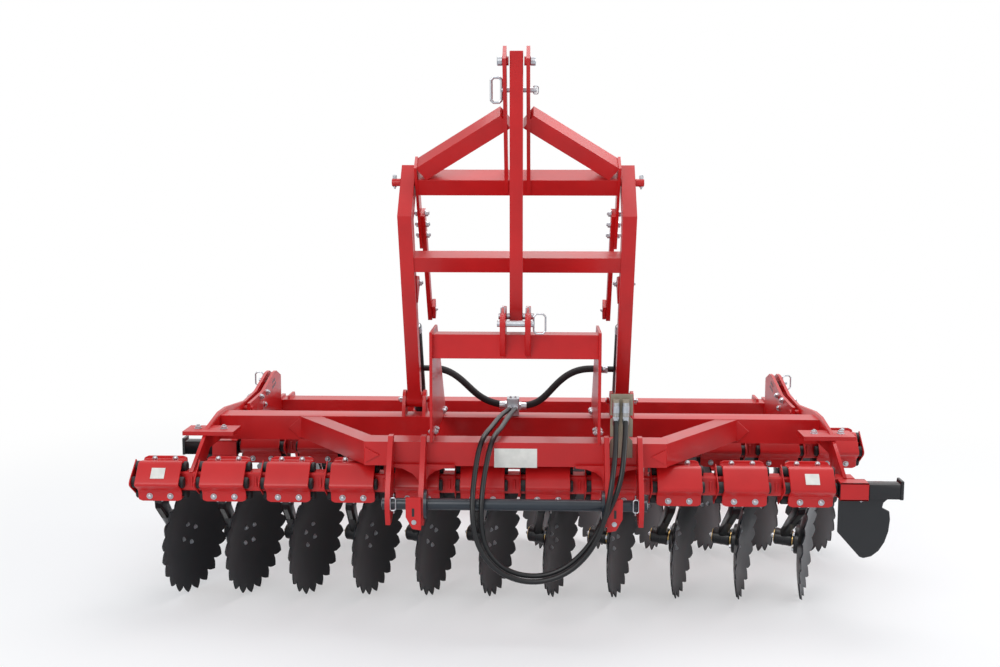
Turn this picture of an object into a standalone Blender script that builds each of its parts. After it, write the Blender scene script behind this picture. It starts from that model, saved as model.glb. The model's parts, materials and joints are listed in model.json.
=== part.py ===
"""Compact disc harrow, three metres wide, for a tractor's three-point hitch.

Two rows of eleven notched discs hang from square toolbars in rubber-cord clamps.
A lift frame for a seed drill stands raised over the machine, held by two cylinders.
Metres, +Z up, +Y to the rear, ground at zero, origin under the middle of the machine.
"""

import math

import bmesh
import bpy
from mathutils import Matrix, Vector

# Seats and running fits
SEAT_GAP = 0.0003
PIN_CLEARANCE = 0.001
RUNNING_GAP = 0.0006
OVERRUN = 0.01

# Disc rows
UNITS = 11
UNIT_PITCH = 0.273
ROW_DISTANCE = 0.72
BAR_SIZE = 0.08
BAR_HEIGHT = 0.574
BAR_END = 0.108
FRONT_BAR_STUB = 0.03

# Discs
DISC_RADIUS = 0.26
DISC_TEETH = 22
DISC_NOTCH = 0.03
DISC_DISH = 0.042
DISC_THICKNESS = 0.006
DISC_YAW_DEG = 18.0
DISC_CAMBER_DEG = 4.0
DISC_TRAIL = 0.26
DISC_LEAD = 0.022
DISC_RING_SHARE = 0.5
TEETH_PER_FACET = 2
FLANGE_RADIUS = 0.065
FLANGE_LENGTH = 0.014
HUB_RADIUS = 0.036
HUB_LENGTH = 0.078
HUB_NECK_RADIUS = 0.028
HUB_NECK_LENGTH = 0.012

# Rubber-cord clamps, with places measured forward and up from the toolbar's axis
SHELL_WIDTH = 0.185
SHELL_WALL = 0.008
FLANGE_FORWARD = 0.056
FLANGE_LOW = 0.082
FLANGE_HIGH = 0.038
NOSE_FORWARD = 0.114
NOSE_DROP = 0.003
BROW_FORWARD = 0.038
BROW_HEIGHT = 0.086
BACK_OFFSET = 0.035
BACK_HEIGHT = 0.074
TOP_FLANGE_HEIGHT = 0.092
CORD_RADIUS = 0.024
CORD_SQUEEZE = 0.005
CORD_END = 0.013
KEEPER_OFFSET = 0.023
KEEPER_WALL = 0.005
KEEPER_WIDTH = 0.03
FLANGE_LAP = 0.001
ARM_WIDTH = 0.06
ARM_TOP_DEPTH = 0.12
ARM_FOOT_DEPTH = 0.075
ARM_SIDE = 0.062

# Main frame tubes
BEAM_DEPTH = 0.13
BEAM_HEIGHT = 0.11
BEAM_TOP = 0.7675
LONG_BEAM_FRONT = 0.43
CENTRE_TUBE_FRONT = -0.11
CENTRE_TUBE_DEPTH = 0.13
CENTRE_TUBE_HEIGHT = 0.1
CENTRE_TUBE_HALF = 0.625
DIAGONAL_WIDTH = 0.1
DIAGONAL_OUT = 0.37
HANGER_X = 0.546
HANGER_WALL = 0.015
HANGER_HALF = 0.035

# Side plates
SIDE_PLATE_X = 1.3715
SIDE_PLATE_WALL = 0.015
TWIN_SPACING = 0.037
TWIN_FRONT = 0.86
PEAK_Y = 1.46
PEAK_Z = 0.81
PEAK_HALF = 0.03
PLATE_REAR = 1.6
PLATE_REAR_TOP = 0.77
PLATE_REAR_BOTTOM = 0.575
PLATE_DIP_Y = 0.93
PLATE_DIP_Z = 0.745
PLATE_NOSE_Y = 0.24
PLATE_NOSE_Z = 0.754
PLATE_CROWN_Z = 0.783
PLATE_TOE = 0.03
BRACKET_MIDDLE_Y = 0.245
BRACKET_DEPTH = 0.14
BRACKET_TOP = 0.744
BRACKET_WALL = 0.018
BRACKET_INNER = 0.13
BRACKET_OUTER = 0.095

# Roller and the frame that carries it
ROLLER_PIVOT = (1.17, 0.683)
ROLLER_PIVOT_RADIUS = 0.015
ROLLER_ARM_WALL = 0.02
ROLLER_ARM_RADIUS = 0.045
CARRIER_FRONT = 1.66
CARRIER_DEPTH = 0.13
CARRIER_TOP = 0.62
CARRIER_HEIGHT = 0.105
ROLLER_Y = 1.95
ROLLER_RADIUS = 0.25
ROLLER_HALF = 1.27
ROLLER_TUBES = 12
ROLLER_TUBE_RADIUS = 0.016
ROLLER_DISCS = 5
ROLLER_DISC_WALL = 0.01
ROLLER_SHAFT_RADIUS = 0.03
BEARING_PLATE_WALL = 0.015
BEARING_PLATE_X = 1.3
BEARING_RADIUS = 0.05

# Headstock
HEAD_PLATE_X = 0.345
HEAD_PLATE_WALL = 0.012
HEAD_TUBE_SIZE = 0.1
HEAD_TUBE_TOP = 1.215
HEAD_TUBE_FRONT = -0.1
HEAD_FRONT = -0.13
HEAD_CROWN = 0.14
HEAD_REAR = 0.56
HEAD_REAR_HEIGHT = 0.035
CLEVIS_GAP = 0.08
CLEVIS_WALL = 0.022
CLEVIS_RADIUS = 0.04
TRACTOR_PIN = (-0.14, 1.265)
PIN_RADIUS = 0.0125
PIN_HEAD_SHARE = 1.5

# Lower hitch
HITCH_INNER_X = 0.375
HITCH_OUTER_X = 0.51
HITCH_WALL = 0.02
HITCH_FORWARD = 0.18
HITCH_FOOT_Z = 0.457
HITCH_TOP_Z = 0.8
HITCH_BAR_RADIUS = 0.024
HITCH_BAR_Y = -0.24
HITCH_BAR_Z = 0.54
HITCH_BAR_HALF = 0.535
HITCH_FLANGE_RADIUS = 0.06
HITCH_FLANGE_WALL = 0.012
GUSSET_WALL = 0.012
GUSSET_INNER_REACH = 0.116
GUSSET_INNER_DROP = 0.07
GUSSET_OUTER_DROP = 0.11
GUSSET_LIP = 0.01

# Lift frame: places are (to the rear, up) from the front toolbar's axis and the ground
ARM_PIVOT = (0.51, 0.835)
ARM_BEND = (0.16, 1.68)
ARM_TIP = (0.34, 1.875)
COUPLING_PIVOT = (0.27, 1.83)
LINK_FOOT = (0.04, 1.275)
LINK_HEAD = (-0.07, 2.315)
CYLINDER_FOOT = (0.76, 0.715)
CYLINDER_HEAD = (0.385, 1.385)
LIFT_ARM_X = 0.475
LIFT_ARM_WIDTH = 0.06
LIFT_ARM_DEPTH = 0.09
ARM_FOOT_SHARE = 0.7
LIFT_BUSH_HALF = 0.038
LIFT_BUSH_RADIUS = 0.036
LIFT_TUBE_SIZE = 0.07
LIFT_TUBE_Z = 1.49
LUG_WALL = 0.015
LUG_RADIUS = 0.045
LIFT_PIN_RADIUS = 0.015
EAR_WALL = 0.012
CYLINDER_X = 0.472
CYLINDER_SEAT_Z = 0.668
CYLINDER_SEAT_WALL = 0.012

# Coupling frame
COUPLING_TUBE = 0.08
COUPLING_PLATE_X = 0.434
COUPLING_PLATE_WALL = 0.012
COUPLING_PLATE_PROUD = 0.004
COUPLING_PLATE_DROP = 0.33
COUPLING_BRACE = 0.074
COUPLING_BRACE_TOP = 0.33
COUPLING_BRACE_FOOT = 0.068
COUPLING_BRACE_INSET = 0.022
COUPLING_PLATE_HORN = 0.105
MAST_X = 0.0475
MAST_WALL = 0.015
MAST_DEPTH = 0.1
LEG_LENGTH = 0.77
LEG_WIDTH = 0.06
LEG_WALL = 0.02
LEG_TOP = 0.16
LEG_LAP = 0.001

# Top link and cylinders
LINK_WIDTH = 0.054
LINK_DEPTH = 0.055
BARREL_RADIUS = 0.03
BARREL_LENGTH = 0.53
BARREL_START = 0.042
ROD_RADIUS = 0.018
EYE_RADIUS = 0.03
EYE_WIDTH = 0.04
ROD_TAIL = 0.25
ROD_NECK_SHARE = 0.8

# Deflectors
SOCKET_START = 1.337
SOCKET_END = 1.452
SOCKET_SIZE = 0.075
SOCKET_WALL = 0.006
SLIDE_END = 1.59
DEFLECTOR_WALL = 0.008
DEFLECTOR_OUTER = 1.552
DEFLECTOR_FOOT_Z = 0.285
DEFLECTOR_STEPS = 5
DEFLECTOR_INNER_SHARES = ((0.0, 0.0), (0.0, 0.56), (0.44, 0.98))
DEFLECTOR_BELLY_SHARES = (0.52, 0.34)
DEFLECTOR_NOTCH_SHARES = ((0.98, 0.2), (0.84, 0.14), (0.86, 0.06), (0.94, 0.0))

# Hoses: radii, the block they share and the holder of their couplings
HOSE_RADIUS = 0.011
SLEEVE_RADIUS = 0.016
HOSE_SPACING = 0.066
BLOCK_X = -0.022
BLOCK_HALF = 0.028
BLOCK_DEPTH = 0.06
BLOCK_FRONT = 0.46
BLOCK_TOP = 0.85
HOLDER_LEFT = 0.39
HOLDER_RIGHT = 0.482
HOLDER_TOP = 0.975
HOLDER_BOTTOM = 0.71
HOLDER_WALL = 0.006
HOLDER_NOTCH = 0.018
COUPLER_RADIUS = 0.015
COUPLER_LENGTH = 0.07
COUPLER_FOOT_Z = 0.885
COUPLER_PLACES = (0.412, 0.452)
PORT_RADIUS = 0.014
PORT_REACH = 0.027
PORT_DISTANCE = 0.285

# Routes of the hoses: (x, y from the front toolbar's axis, z), chosen by hand from the photo
LEFT_SUPPLY_ROUTE = (
    (-0.036, 0.4597, 0.805), (-0.036, 0.43, 0.805), (-0.06, 0.33, 0.808), (-0.085, 0.19, 0.803),
    (-0.106, 0.05, 0.796), (-0.12, -0.05, 0.796), (-0.135, -0.117, 0.785), (-0.15, -0.17, 0.738),
    (-0.16, -0.22, 0.665), (-0.166, -0.275, 0.6), (-0.167, -0.31, 0.53), (-0.16, -0.325, 0.46),
    (-0.14, -0.333, 0.39), (-0.103, -0.336, 0.33), (-0.045, -0.338, 0.28), (0.03, -0.338, 0.252),
    (0.11, -0.338, 0.25), (0.19, -0.338, 0.275), (0.265, -0.338, 0.33), (0.323, -0.34, 0.41),
    (0.358, -0.341, 0.5), (0.378, -0.338, 0.59), (0.393, -0.302, 0.68), (0.407, -0.225, 0.765),
    (0.411, -0.165, 0.83), (0.412, -0.1293, 0.8597), (0.412, -0.1293, 0.8847),
)
RIGHT_SUPPLY_ROUTE = (
    (-0.01, 0.4597, 0.805), (-0.01, 0.43, 0.805), (-0.025, 0.33, 0.808), (-0.045, 0.19, 0.803),
    (-0.062, 0.05, 0.796), (-0.078, -0.05, 0.796), (-0.092, -0.117, 0.785), (-0.107, -0.17, 0.738),
    (-0.12, -0.22, 0.665), (-0.128, -0.27, 0.6), (-0.132, -0.297, 0.53), (-0.13, -0.305, 0.46),
    (-0.118, -0.31, 0.39), (-0.088, -0.312, 0.335), (-0.035, -0.313, 0.29), (0.035, -0.313, 0.268),
    (0.11, -0.313, 0.266), (0.185, -0.313, 0.288), (0.255, -0.313, 0.34), (0.318, -0.313, 0.42),
    (0.364, -0.313, 0.51), (0.408, -0.307, 0.6), (0.432, -0.28, 0.69), (0.442, -0.225, 0.775),
    (0.45, -0.165, 0.835), (0.452, -0.1293, 0.8597), (0.452, -0.1293, 0.8847),
)
LEFT_CYLINDER_ROUTE = (
    (-0.0503, 0.49, 0.815), (-0.09, 0.49, 0.815), (-0.15, 0.5, 0.832), (-0.2, 0.515, 0.866),
    (-0.25, 0.537, 0.915), (-0.3, 0.562, 0.95), (-0.35, 0.59, 0.968), (-0.385, 0.6209, 0.9636),
    (-0.4147, 0.6209, 0.9636),
)
RIGHT_CYLINDER_ROUTE = (
    (0.0063, 0.49, 0.81), (0.05, 0.49, 0.81), (0.1, 0.498, 0.827), (0.15, 0.514, 0.88),
    (0.2, 0.535, 0.932), (0.25, 0.556, 0.962), (0.3, 0.578, 0.972), (0.35, 0.6, 0.97),
    (0.385, 0.6209, 0.9636), (0.4147, 0.6209, 0.9636),
)
# Columns: name, route, radius
HOSES = (
    ("left_supply_hose", LEFT_SUPPLY_ROUTE, HOSE_RADIUS),
    ("right_supply_hose", RIGHT_SUPPLY_ROUTE, HOSE_RADIUS),
    ("left_cylinder_hose", LEFT_CYLINDER_ROUTE, SLEEVE_RADIUS),
    ("right_cylinder_hose", RIGHT_CYLINDER_ROUTE, SLEEVE_RADIUS),
)

# Finishes: colour, metallic, roughness
FINISHES = {
    "paint_red": ((0.60, 0.030, 0.022), 0.0, 0.35),
    "cast_black": ((0.020, 0.021, 0.024), 0.2, 0.45),
    "disc_black": ((0.012, 0.016, 0.022), 0.4, 0.4),
    "rubber_black": ((0.015, 0.015, 0.016), 0.0, 0.6),
    "chrome": ((0.75, 0.76, 0.78), 1.0, 0.15),
    "zinc": ((0.55, 0.57, 0.60), 1.0, 0.35),
    "holder_grey": ((0.20, 0.19, 0.15), 0.3, 0.5),
}

MIDDLE_Y = (ROLLER_Y + ROLLER_RADIUS + HITCH_BAR_Y - HITCH_FLANGE_RADIUS) / 2.0
ROWS = (("front", 0.0, 1.0), ("rear", ROW_DISTANCE, -1.0))


def clear_scene():
    """Remove what the startup file put in the scene."""
    for item in list(bpy.data.objects):
        bpy.data.objects.remove(item, do_unlink=True)


def make_material(name):
    """Return the Principled material of a named finish."""
    colour, metallic, roughness = FINISHES[name]
    material = bpy.data.materials.new(name)
    material.use_nodes = True
    shader = material.node_tree.nodes["Principled BSDF"]
    shader.inputs["Base Color"].default_value = (*colour, 1.0)
    shader.inputs["Metallic"].default_value = metallic
    shader.inputs["Roughness"].default_value = roughness
    material.diffuse_color = (*colour, 1.0)
    return material


def to_mesh(bm, name="solid"):
    """Turn a bmesh into a mesh whose faces point outwards."""
    bmesh.ops.recalc_face_normals(bm, faces=bm.faces)
    mesh = bpy.data.meshes.new(name)
    bm.to_mesh(mesh)
    bm.free()
    return mesh


def prism(outline, low, high, axis="X"):
    """Extrude a closed outline along an axis.

    For X the outline is (y, z), for Y it is (x, z) and for Z it is (x, y).
    """
    place = {
        "X": lambda a, b: (low, a, b),
        "Y": lambda a, b: (a, low, b),
        "Z": lambda a, b: (a, b, low),
    }[axis]
    step = Vector({"X": (1, 0, 0), "Y": (0, 1, 0), "Z": (0, 0, 1)}[axis]) * (high - low)
    bm = bmesh.new()
    face = bm.faces.new([bm.verts.new(place(a, b)) for a, b in outline])
    grown = bmesh.ops.extrude_face_region(bm, geom=[face])
    moved = [item for item in grown["geom"] if isinstance(item, bmesh.types.BMVert)]
    bmesh.ops.translate(bm, vec=step, verts=moved)
    return to_mesh(bm)


def block(x_span, y_span, z_span):
    """Return a box between pairs of low and high places."""
    outline = [
        (y_span[0], z_span[0]),
        (y_span[1], z_span[0]),
        (y_span[1], z_span[1]),
        (y_span[0], z_span[1]),
    ]
    return prism(outline, x_span[0], x_span[1])


def along(start, end):
    """Return the matrix that lays +Z from start to end, at their middle."""
    start, end = Vector(start), Vector(end)
    turn = (end - start).to_track_quat("Z", "Y").to_matrix().to_4x4()
    return Matrix.Translation((start + end) / 2.0) @ turn


def rod(start, end, radius, sides=16, end_radius=None):
    """Return a round bar between two points, or a cone with a second radius."""
    bm = bmesh.new()
    bmesh.ops.create_cone(
        bm,
        cap_ends=True,
        segments=sides,
        radius1=radius,
        radius2=radius if end_radius is None else end_radius,
        depth=(Vector(end) - Vector(start)).length,
        matrix=along(start, end),
    )
    return to_mesh(bm)


def across(middle_x, place, half, radius, sides=16):
    """Return a round bar along X, centred on middle_x, at (y, z)."""
    return rod((middle_x - half, *place), (middle_x + half, *place), radius, sides)


def loft(stations):
    """Bridge square sections, each given by its four corners, and cap both ends."""
    bm = bmesh.new()
    rings = []
    for corners in stations:
        rings.append([bm.verts.new(corner) for corner in corners])
    for lower, upper in zip(rings, rings[1:]):
        for k in range(len(lower)):
            after = (k + 1) % len(lower)
            bm.faces.new((lower[k], lower[after], upper[after], upper[k]))
    bm.faces.new(rings[0])
    bm.faces.new(rings[-1])
    return to_mesh(bm)


def combine(base, tools, operation="UNION"):
    """Join, cut or intersect a mesh with a list of meshes, and return the result."""
    for tool in tools:
        body = bpy.data.objects.new("body", base)
        other = bpy.data.objects.new("other", tool)
        for item in (body, other):
            bpy.context.collection.objects.link(item)
        step = body.modifiers.new("step", "BOOLEAN")
        step.operation = operation
        step.solver = "EXACT"
        step.object = other
        graph = bpy.context.evaluated_depsgraph_get()
        base = bpy.data.meshes.new_from_object(body.evaluated_get(graph))
        for item in (body, other):
            bpy.data.objects.remove(item, do_unlink=True)
    return base


def moved(mesh, offset=(0.0, 0.0, 0.0), mirror_x=False):
    """Return a copy of a mesh, mirrored left to right if asked, then moved."""
    bm = bmesh.new()
    bm.from_mesh(mesh)
    if mirror_x:
        bmesh.ops.scale(bm, vec=(-1.0, 1.0, 1.0), verts=bm.verts)
    bmesh.ops.translate(bm, vec=offset, verts=bm.verts)
    return to_mesh(bm)


def joined(meshes):
    """Return one mesh that holds several separate solids."""
    bm = bmesh.new()
    for mesh in meshes:
        bm.from_mesh(mesh)
    return to_mesh(bm)


def add_node(name, mesh, finish, parent, pivot=(0.0, 0.0, 0.0)):
    """Put a mesh in the scene as one named piece whose origin is its pivot."""
    mesh.transform(Matrix.Translation(-Vector(pivot)))
    mesh.materials.clear()
    mesh.materials.append(finish)
    mesh.name = name
    mesh.shade_smooth()
    mesh.set_sharp_from_angle(angle=math.radians(30.0))
    item = bpy.data.objects.new(name, mesh)
    bpy.context.collection.objects.link(item)
    item.parent = parent
    item.location = pivot
    return item


def unit_centres(side):
    """Return the X places of a row's clamps; side is 1 in front and -1 behind."""
    first = -(UNITS - 1) / 2.0
    return [side * ((first + k) * UNIT_PITCH - UNIT_PITCH / 2.0) for k in range(UNITS)]


def disc_axis(side):
    """Return the unit vector from a disc's hub towards its hollow face."""
    yaw, camber = math.radians(DISC_YAW_DEG), math.radians(DISC_CAMBER_DEG)
    flat = math.cos(camber)
    return Vector((side * math.cos(yaw) * flat, -math.sin(yaw) * flat, -math.sin(camber)))


def disc_centre(side, centre_x, row_y):
    """Return the middle of a disc's mounting face, so that its teeth just reach the ground."""
    camber = math.radians(DISC_CAMBER_DEG)
    rise = DISC_RADIUS * math.cos(camber) + (DISC_DISH + DISC_THICKNESS) * math.sin(camber)
    return Vector((centre_x + side * DISC_LEAD, row_y + DISC_TRAIL, rise))


def disc_mesh():
    """Return a domed disc with scalloped teeth, its hub along +Z and its hollow side up."""
    sphere = (DISC_RADIUS ** 2 + DISC_DISH ** 2) / (2.0 * DISC_DISH)

    def height(radius):
        return sphere - math.sqrt(sphere ** 2 - radius ** 2)

    def ring(bm, count, radii, lift):
        """Return a ring of vertices whose radii take turns, on the dome's sphere."""
        made = []
        for k in range(count):
            turn = 2.0 * math.pi * k / count
            radius = radii[k % len(radii)]
            made.append(bm.verts.new(
                (radius * math.cos(turn), radius * math.sin(turn), height(radius) + lift)
            ))
        return made

    bm = bmesh.new()
    rims = []
    facets = DISC_TEETH // TEETH_PER_FACET
    steps = 2 * TEETH_PER_FACET
    count = 2 * DISC_TEETH
    for lift in (0.0, DISC_THICKNESS):
        middle = ring(bm, facets, (DISC_RING_SHARE * DISC_RADIUS,), lift)
        rim = ring(bm, count, (DISC_RADIUS - DISC_NOTCH, DISC_RADIUS), lift)
        rims.append(rim)
        bm.faces.new(middle)
        for k in range(facets):
            teeth = [rim[(steps * k + step) % count] for step in range(steps + 1)]
            bm.faces.new((middle[k], middle[(k + 1) % facets], *reversed(teeth)))
    for k in range(count):
        after = (k + 1) % count
        bm.faces.new((rims[0][k], rims[0][after], rims[1][after], rims[1][k]))
    plate = to_mesh(bm)
    neck_end = -FLANGE_LENGTH - HUB_NECK_LENGTH
    seat = height(DISC_RING_SHARE * DISC_RADIUS) + DISC_THICKNESS / 2.0
    flange = rod((0, 0, -FLANGE_LENGTH), (0, 0, seat), FLANGE_RADIUS, 8)
    neck = rod((0, 0, neck_end), (0, 0, 0.0), HUB_NECK_RADIUS, 8)
    return combine(plate, [flange, neck])


def hub_mesh(side, centre_x, row_y):
    """Return the bearing body, which stays with the arm."""
    axis = disc_axis(side)
    start = disc_centre(side, centre_x, row_y)
    start = start - axis * (FLANGE_LENGTH + HUB_NECK_LENGTH + RUNNING_GAP)
    return rod(start, start - axis * HUB_LENGTH, HUB_RADIUS, 8)


def front_shell_outline():
    """Return the clamp's front shell as (rearward, up) from the toolbar's axis."""
    outer = [
        (-FLANGE_FORWARD, -FLANGE_LOW),
        (-FLANGE_FORWARD, -FLANGE_HIGH),
        (-NOSE_FORWARD, -NOSE_DROP),
        (-BROW_FORWARD, BROW_HEIGHT),
        (BACK_OFFSET, BACK_HEIGHT),
        (BACK_OFFSET, TOP_FLANGE_HEIGHT),
    ]
    return outer


def offset_strip(points, wall):
    """Return a closed outline: the open line of points, and its copy a wall away."""
    shifted = []
    for k, point in enumerate(points):
        before = Vector(points[max(k - 1, 0)])
        after = Vector(points[min(k + 1, len(points) - 1)])
        here = Vector(point)
        into = (here - before).normalized() if k else (after - here).normalized()
        out = (after - here).normalized() if k < len(points) - 1 else into
        normal_in = Vector((-into.y, into.x))
        normal_out = Vector((-out.y, out.x))
        mitre = normal_in + normal_out
        mitre.normalize()
        reach = wall / max(mitre.dot(normal_in), 0.35)
        shifted.append(here - mitre * reach)
    return [tuple(p) for p in points] + [tuple(p) for p in reversed(shifted)]


def clamp_unit(side):
    """Return one clamp with its arm and bearing, centred on X zero and the toolbar's axis."""
    half = SHELL_WIDTH / 2.0
    line = front_shell_outline()
    front = prism(offset_strip(line, SHELL_WALL), -half, half)
    behind_top = BACK_OFFSET + SHELL_WALL * 2.0 - FLANGE_LAP
    behind_foot = SHELL_WALL * 2.0 - FLANGE_LAP - FLANGE_FORWARD
    rear_line = [
        (behind_top, TOP_FLANGE_HEIGHT - FLANGE_LAP),
        (behind_top, FLANGE_HIGH),
        (NOSE_FORWARD, NOSE_DROP),
        (BROW_FORWARD, -BROW_HEIGHT),
        (behind_foot, -BACK_HEIGHT),
        (behind_foot, -FLANGE_LOW - FLANGE_LAP),
    ]
    rear = prism(offset_strip(rear_line, SHELL_WALL), -half, half)
    reach = BAR_SIZE / 2.0 + CORD_RADIUS - CORD_SQUEEZE
    keeper_x = -side * (half + KEEPER_OFFSET)
    cord_low = min(keeper_x, side * (half + CORD_END))
    cord_high = max(keeper_x, side * (half + CORD_END))
    cords = []
    for y, z in ((-reach, 0.0), (reach, 0.0), (0.0, reach - CORD_SQUEEZE), (0.0, -reach)):
        cords.append(rod((cord_low, y, z), (cord_high, y, z), CORD_RADIUS, 6))
    keeper_line = [
        (BACK_OFFSET, -BROW_HEIGHT - SHELL_WALL),
        (-NOSE_FORWARD, 0.0),
        (0.0, BROW_HEIGHT),
    ]
    keeper = prism(
        offset_strip(keeper_line, KEEPER_WIDTH),
        keeper_x - KEEPER_WALL / 2.0,
        keeper_x + KEEPER_WALL / 2.0,
    )
    return combine(front, [rear, *cords, keeper])


def arm_mesh(side, row_y):
    """Return the black arm from a clamp's underside to its bearing, for a clamp at X zero."""
    axis = disc_axis(side)
    hub = disc_centre(side, 0.0, row_y) - axis * (
        FLANGE_LENGTH + HUB_NECK_LENGTH + RUNNING_GAP + HUB_LENGTH / 2.0
    )
    top_z = BAR_HEIGHT - BROW_HEIGHT + SHELL_WALL
    top_y = row_y + BACK_OFFSET
    top_x = -side * ARM_SIDE
    stations = []
    for x, y, z, depth in (
        (top_x, top_y, top_z, ARM_TOP_DEPTH),
        (hub.x, hub.y - ARM_FOOT_DEPTH / 2.0, hub.z + HUB_RADIUS, ARM_FOOT_DEPTH),
        (hub.x, hub.y, hub.z, HUB_RADIUS),
    ):
        stations.append([
            (x - ARM_WIDTH / 2.0, y - depth / 2.0, z),
            (x + ARM_WIDTH / 2.0, y - depth / 2.0, z),
            (x + ARM_WIDTH / 2.0, y + depth / 2.0, z),
            (x - ARM_WIDTH / 2.0, y + depth / 2.0, z),
        ])
    return loft(stations)


def build_gang(name, row_y, side, finishes, parent):
    """Build one row: the toolbar with its clamps, arms and bearings as one piece."""
    centres = unit_centres(side)
    unit = moved(clamp_unit(side), (0.0, row_y, BAR_HEIGHT))
    arm = arm_mesh(side, row_y)
    unit = combine(unit, [arm, hub_mesh(side, 0.0, row_y)])
    copies = joined([moved(unit, (x, 0.0, 0.0)) for x in centres])
    outer = abs(side * centres[0]) + BAR_END
    inner = SIDE_PLATE_X + SIDE_PLATE_WALL + FRONT_BAR_STUB
    low, high = (-outer, inner) if side > 0 else (-inner, outer)
    half = BAR_SIZE / 2.0
    bar = block(
        (low, high),
        (row_y - half, row_y + half),
        (BAR_HEIGHT - half, BAR_HEIGHT + half),
    )
    face = row_y - half
    middle = face - SOCKET_SIZE / 2.0
    reach = sorted((side * SOCKET_START, side * SOCKET_END))
    socket = block(
        reach,
        (face - SOCKET_SIZE, face + FLANGE_LAP),
        (BAR_HEIGHT - SOCKET_SIZE / 2.0, BAR_HEIGHT + SOCKET_SIZE / 2.0),
    )
    inside = SOCKET_SIZE / 2.0 - SOCKET_WALL
    hollow = block(
        (reach[0] - OVERRUN, reach[1] + OVERRUN),
        (middle - inside, middle + inside),
        (BAR_HEIGHT - inside, BAR_HEIGHT + inside),
    )
    gang = combine(bar, [copies, socket])
    add_node(name, combine(gang, [hollow], "DIFFERENCE"), finishes["paint_red"], parent)


def build_discs(name, row_y, side, finishes, parent):
    """Build one row of discs, each turning on its own tilted axis."""
    base = disc_mesh()
    base.materials.append(finishes["disc_black"])
    base.shade_smooth()
    base.set_sharp_from_angle(angle=math.radians(30.0))
    turn = disc_axis(side).to_track_quat("Z", "Y")
    for k, x in enumerate(unit_centres(side)):
        item = bpy.data.objects.new(f"{name}_disc_{k + 1:02d}", base)
        bpy.context.collection.objects.link(item)
        item.parent = parent
        item.rotation_mode = "QUATERNION"
        item.location = disc_centre(side, x, row_y)
        item.rotation_quaternion = turn


def build_frame(finishes, parent):
    """Build the long beam with its lugs and hangers, and the draft frame in front of it."""
    red = finishes["paint_red"]
    beam_low = BEAM_TOP - BEAM_HEIGHT
    beam_rear = LONG_BEAM_FRONT + BEAM_DEPTH
    bar_top = BAR_HEIGHT + BAR_SIZE / 2.0 + SEAT_GAP
    beam_half = SIDE_PLATE_X - SIDE_PLATE_WALL / 2.0 - SEAT_GAP
    beam = block((-beam_half, beam_half), (LONG_BEAM_FRONT, beam_rear), (beam_low, BEAM_TOP))
    added = []
    for side in (-1.0, 1.0):
        for step in (-1.0, 1.0):
            x = side * LIFT_ARM_X + step * (LIFT_BUSH_HALF + PIN_CLEARANCE + LUG_WALL / 2.0)
            outline = lug_outline(ARM_PIVOT, LUG_RADIUS, (LONG_BEAM_FRONT, beam_rear), BEAM_TOP - OVERRUN)
            added.append(prism(outline, x - LUG_WALL / 2.0, x + LUG_WALL / 2.0))
        half = LIFT_BUSH_HALF + LUG_WALL * 2.0
        added.append(across(side * LIFT_ARM_X, ARM_PIVOT, half, LIFT_PIN_RADIUS, 12))
        added.append(cylinder_seat(side))
        web = [
            (beam_rear - OVERRUN, beam_low + OVERRUN),
            (ROW_DISTANCE - BAR_SIZE / 2.0, bar_top),
            (ROW_DISTANCE + BAR_SIZE / 2.0, bar_top),
            (CYLINDER_FOOT[0] + LUG_RADIUS, CYLINDER_SEAT_Z + CYLINDER_SEAT_WALL),
            (beam_rear - OVERRUN, BEAM_TOP - OVERRUN),
        ]
        half = HANGER_WALL / 2.0
        added.append(prism(web, side * HANGER_X - half, side * HANGER_X + half))
    add_node("long_beam", combine(beam, added), red, parent)

    tube_low = BEAM_TOP - CENTRE_TUBE_HEIGHT
    tube = block(
        (-CENTRE_TUBE_HALF, CENTRE_TUBE_HALF),
        (CENTRE_TUBE_FRONT, CENTRE_TUBE_FRONT + CENTRE_TUBE_DEPTH),
        (tube_low, BEAM_TOP),
    )
    added = []
    front = CENTRE_TUBE_FRONT + SHELL_WALL
    back = LONG_BEAM_FRONT - SEAT_GAP
    for side in (-1.0, 1.0):
        start = side * (CENTRE_TUBE_HALF - DIAGONAL_WIDTH)
        end = start + side * DIAGONAL_OUT
        wide = side * DIAGONAL_WIDTH
        outline = [(start, front), (start + wide, front), (end + wide, back), (end, back)]
        added.append(prism(outline, tube_low + FLANGE_LAP, BEAM_TOP - FLANGE_LAP, "Z"))
        half = HANGER_WALL / 2.0
        added.append(block(
            (side * HANGER_X - half, side * HANGER_X + half),
            (-HANGER_HALF, min(HANGER_HALF, CENTRE_TUBE_FRONT + CENTRE_TUBE_DEPTH)),
            (bar_top, tube_low + OVERRUN),
        ))
    add_node("draft_frame", combine(tube, added), red, parent)


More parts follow.
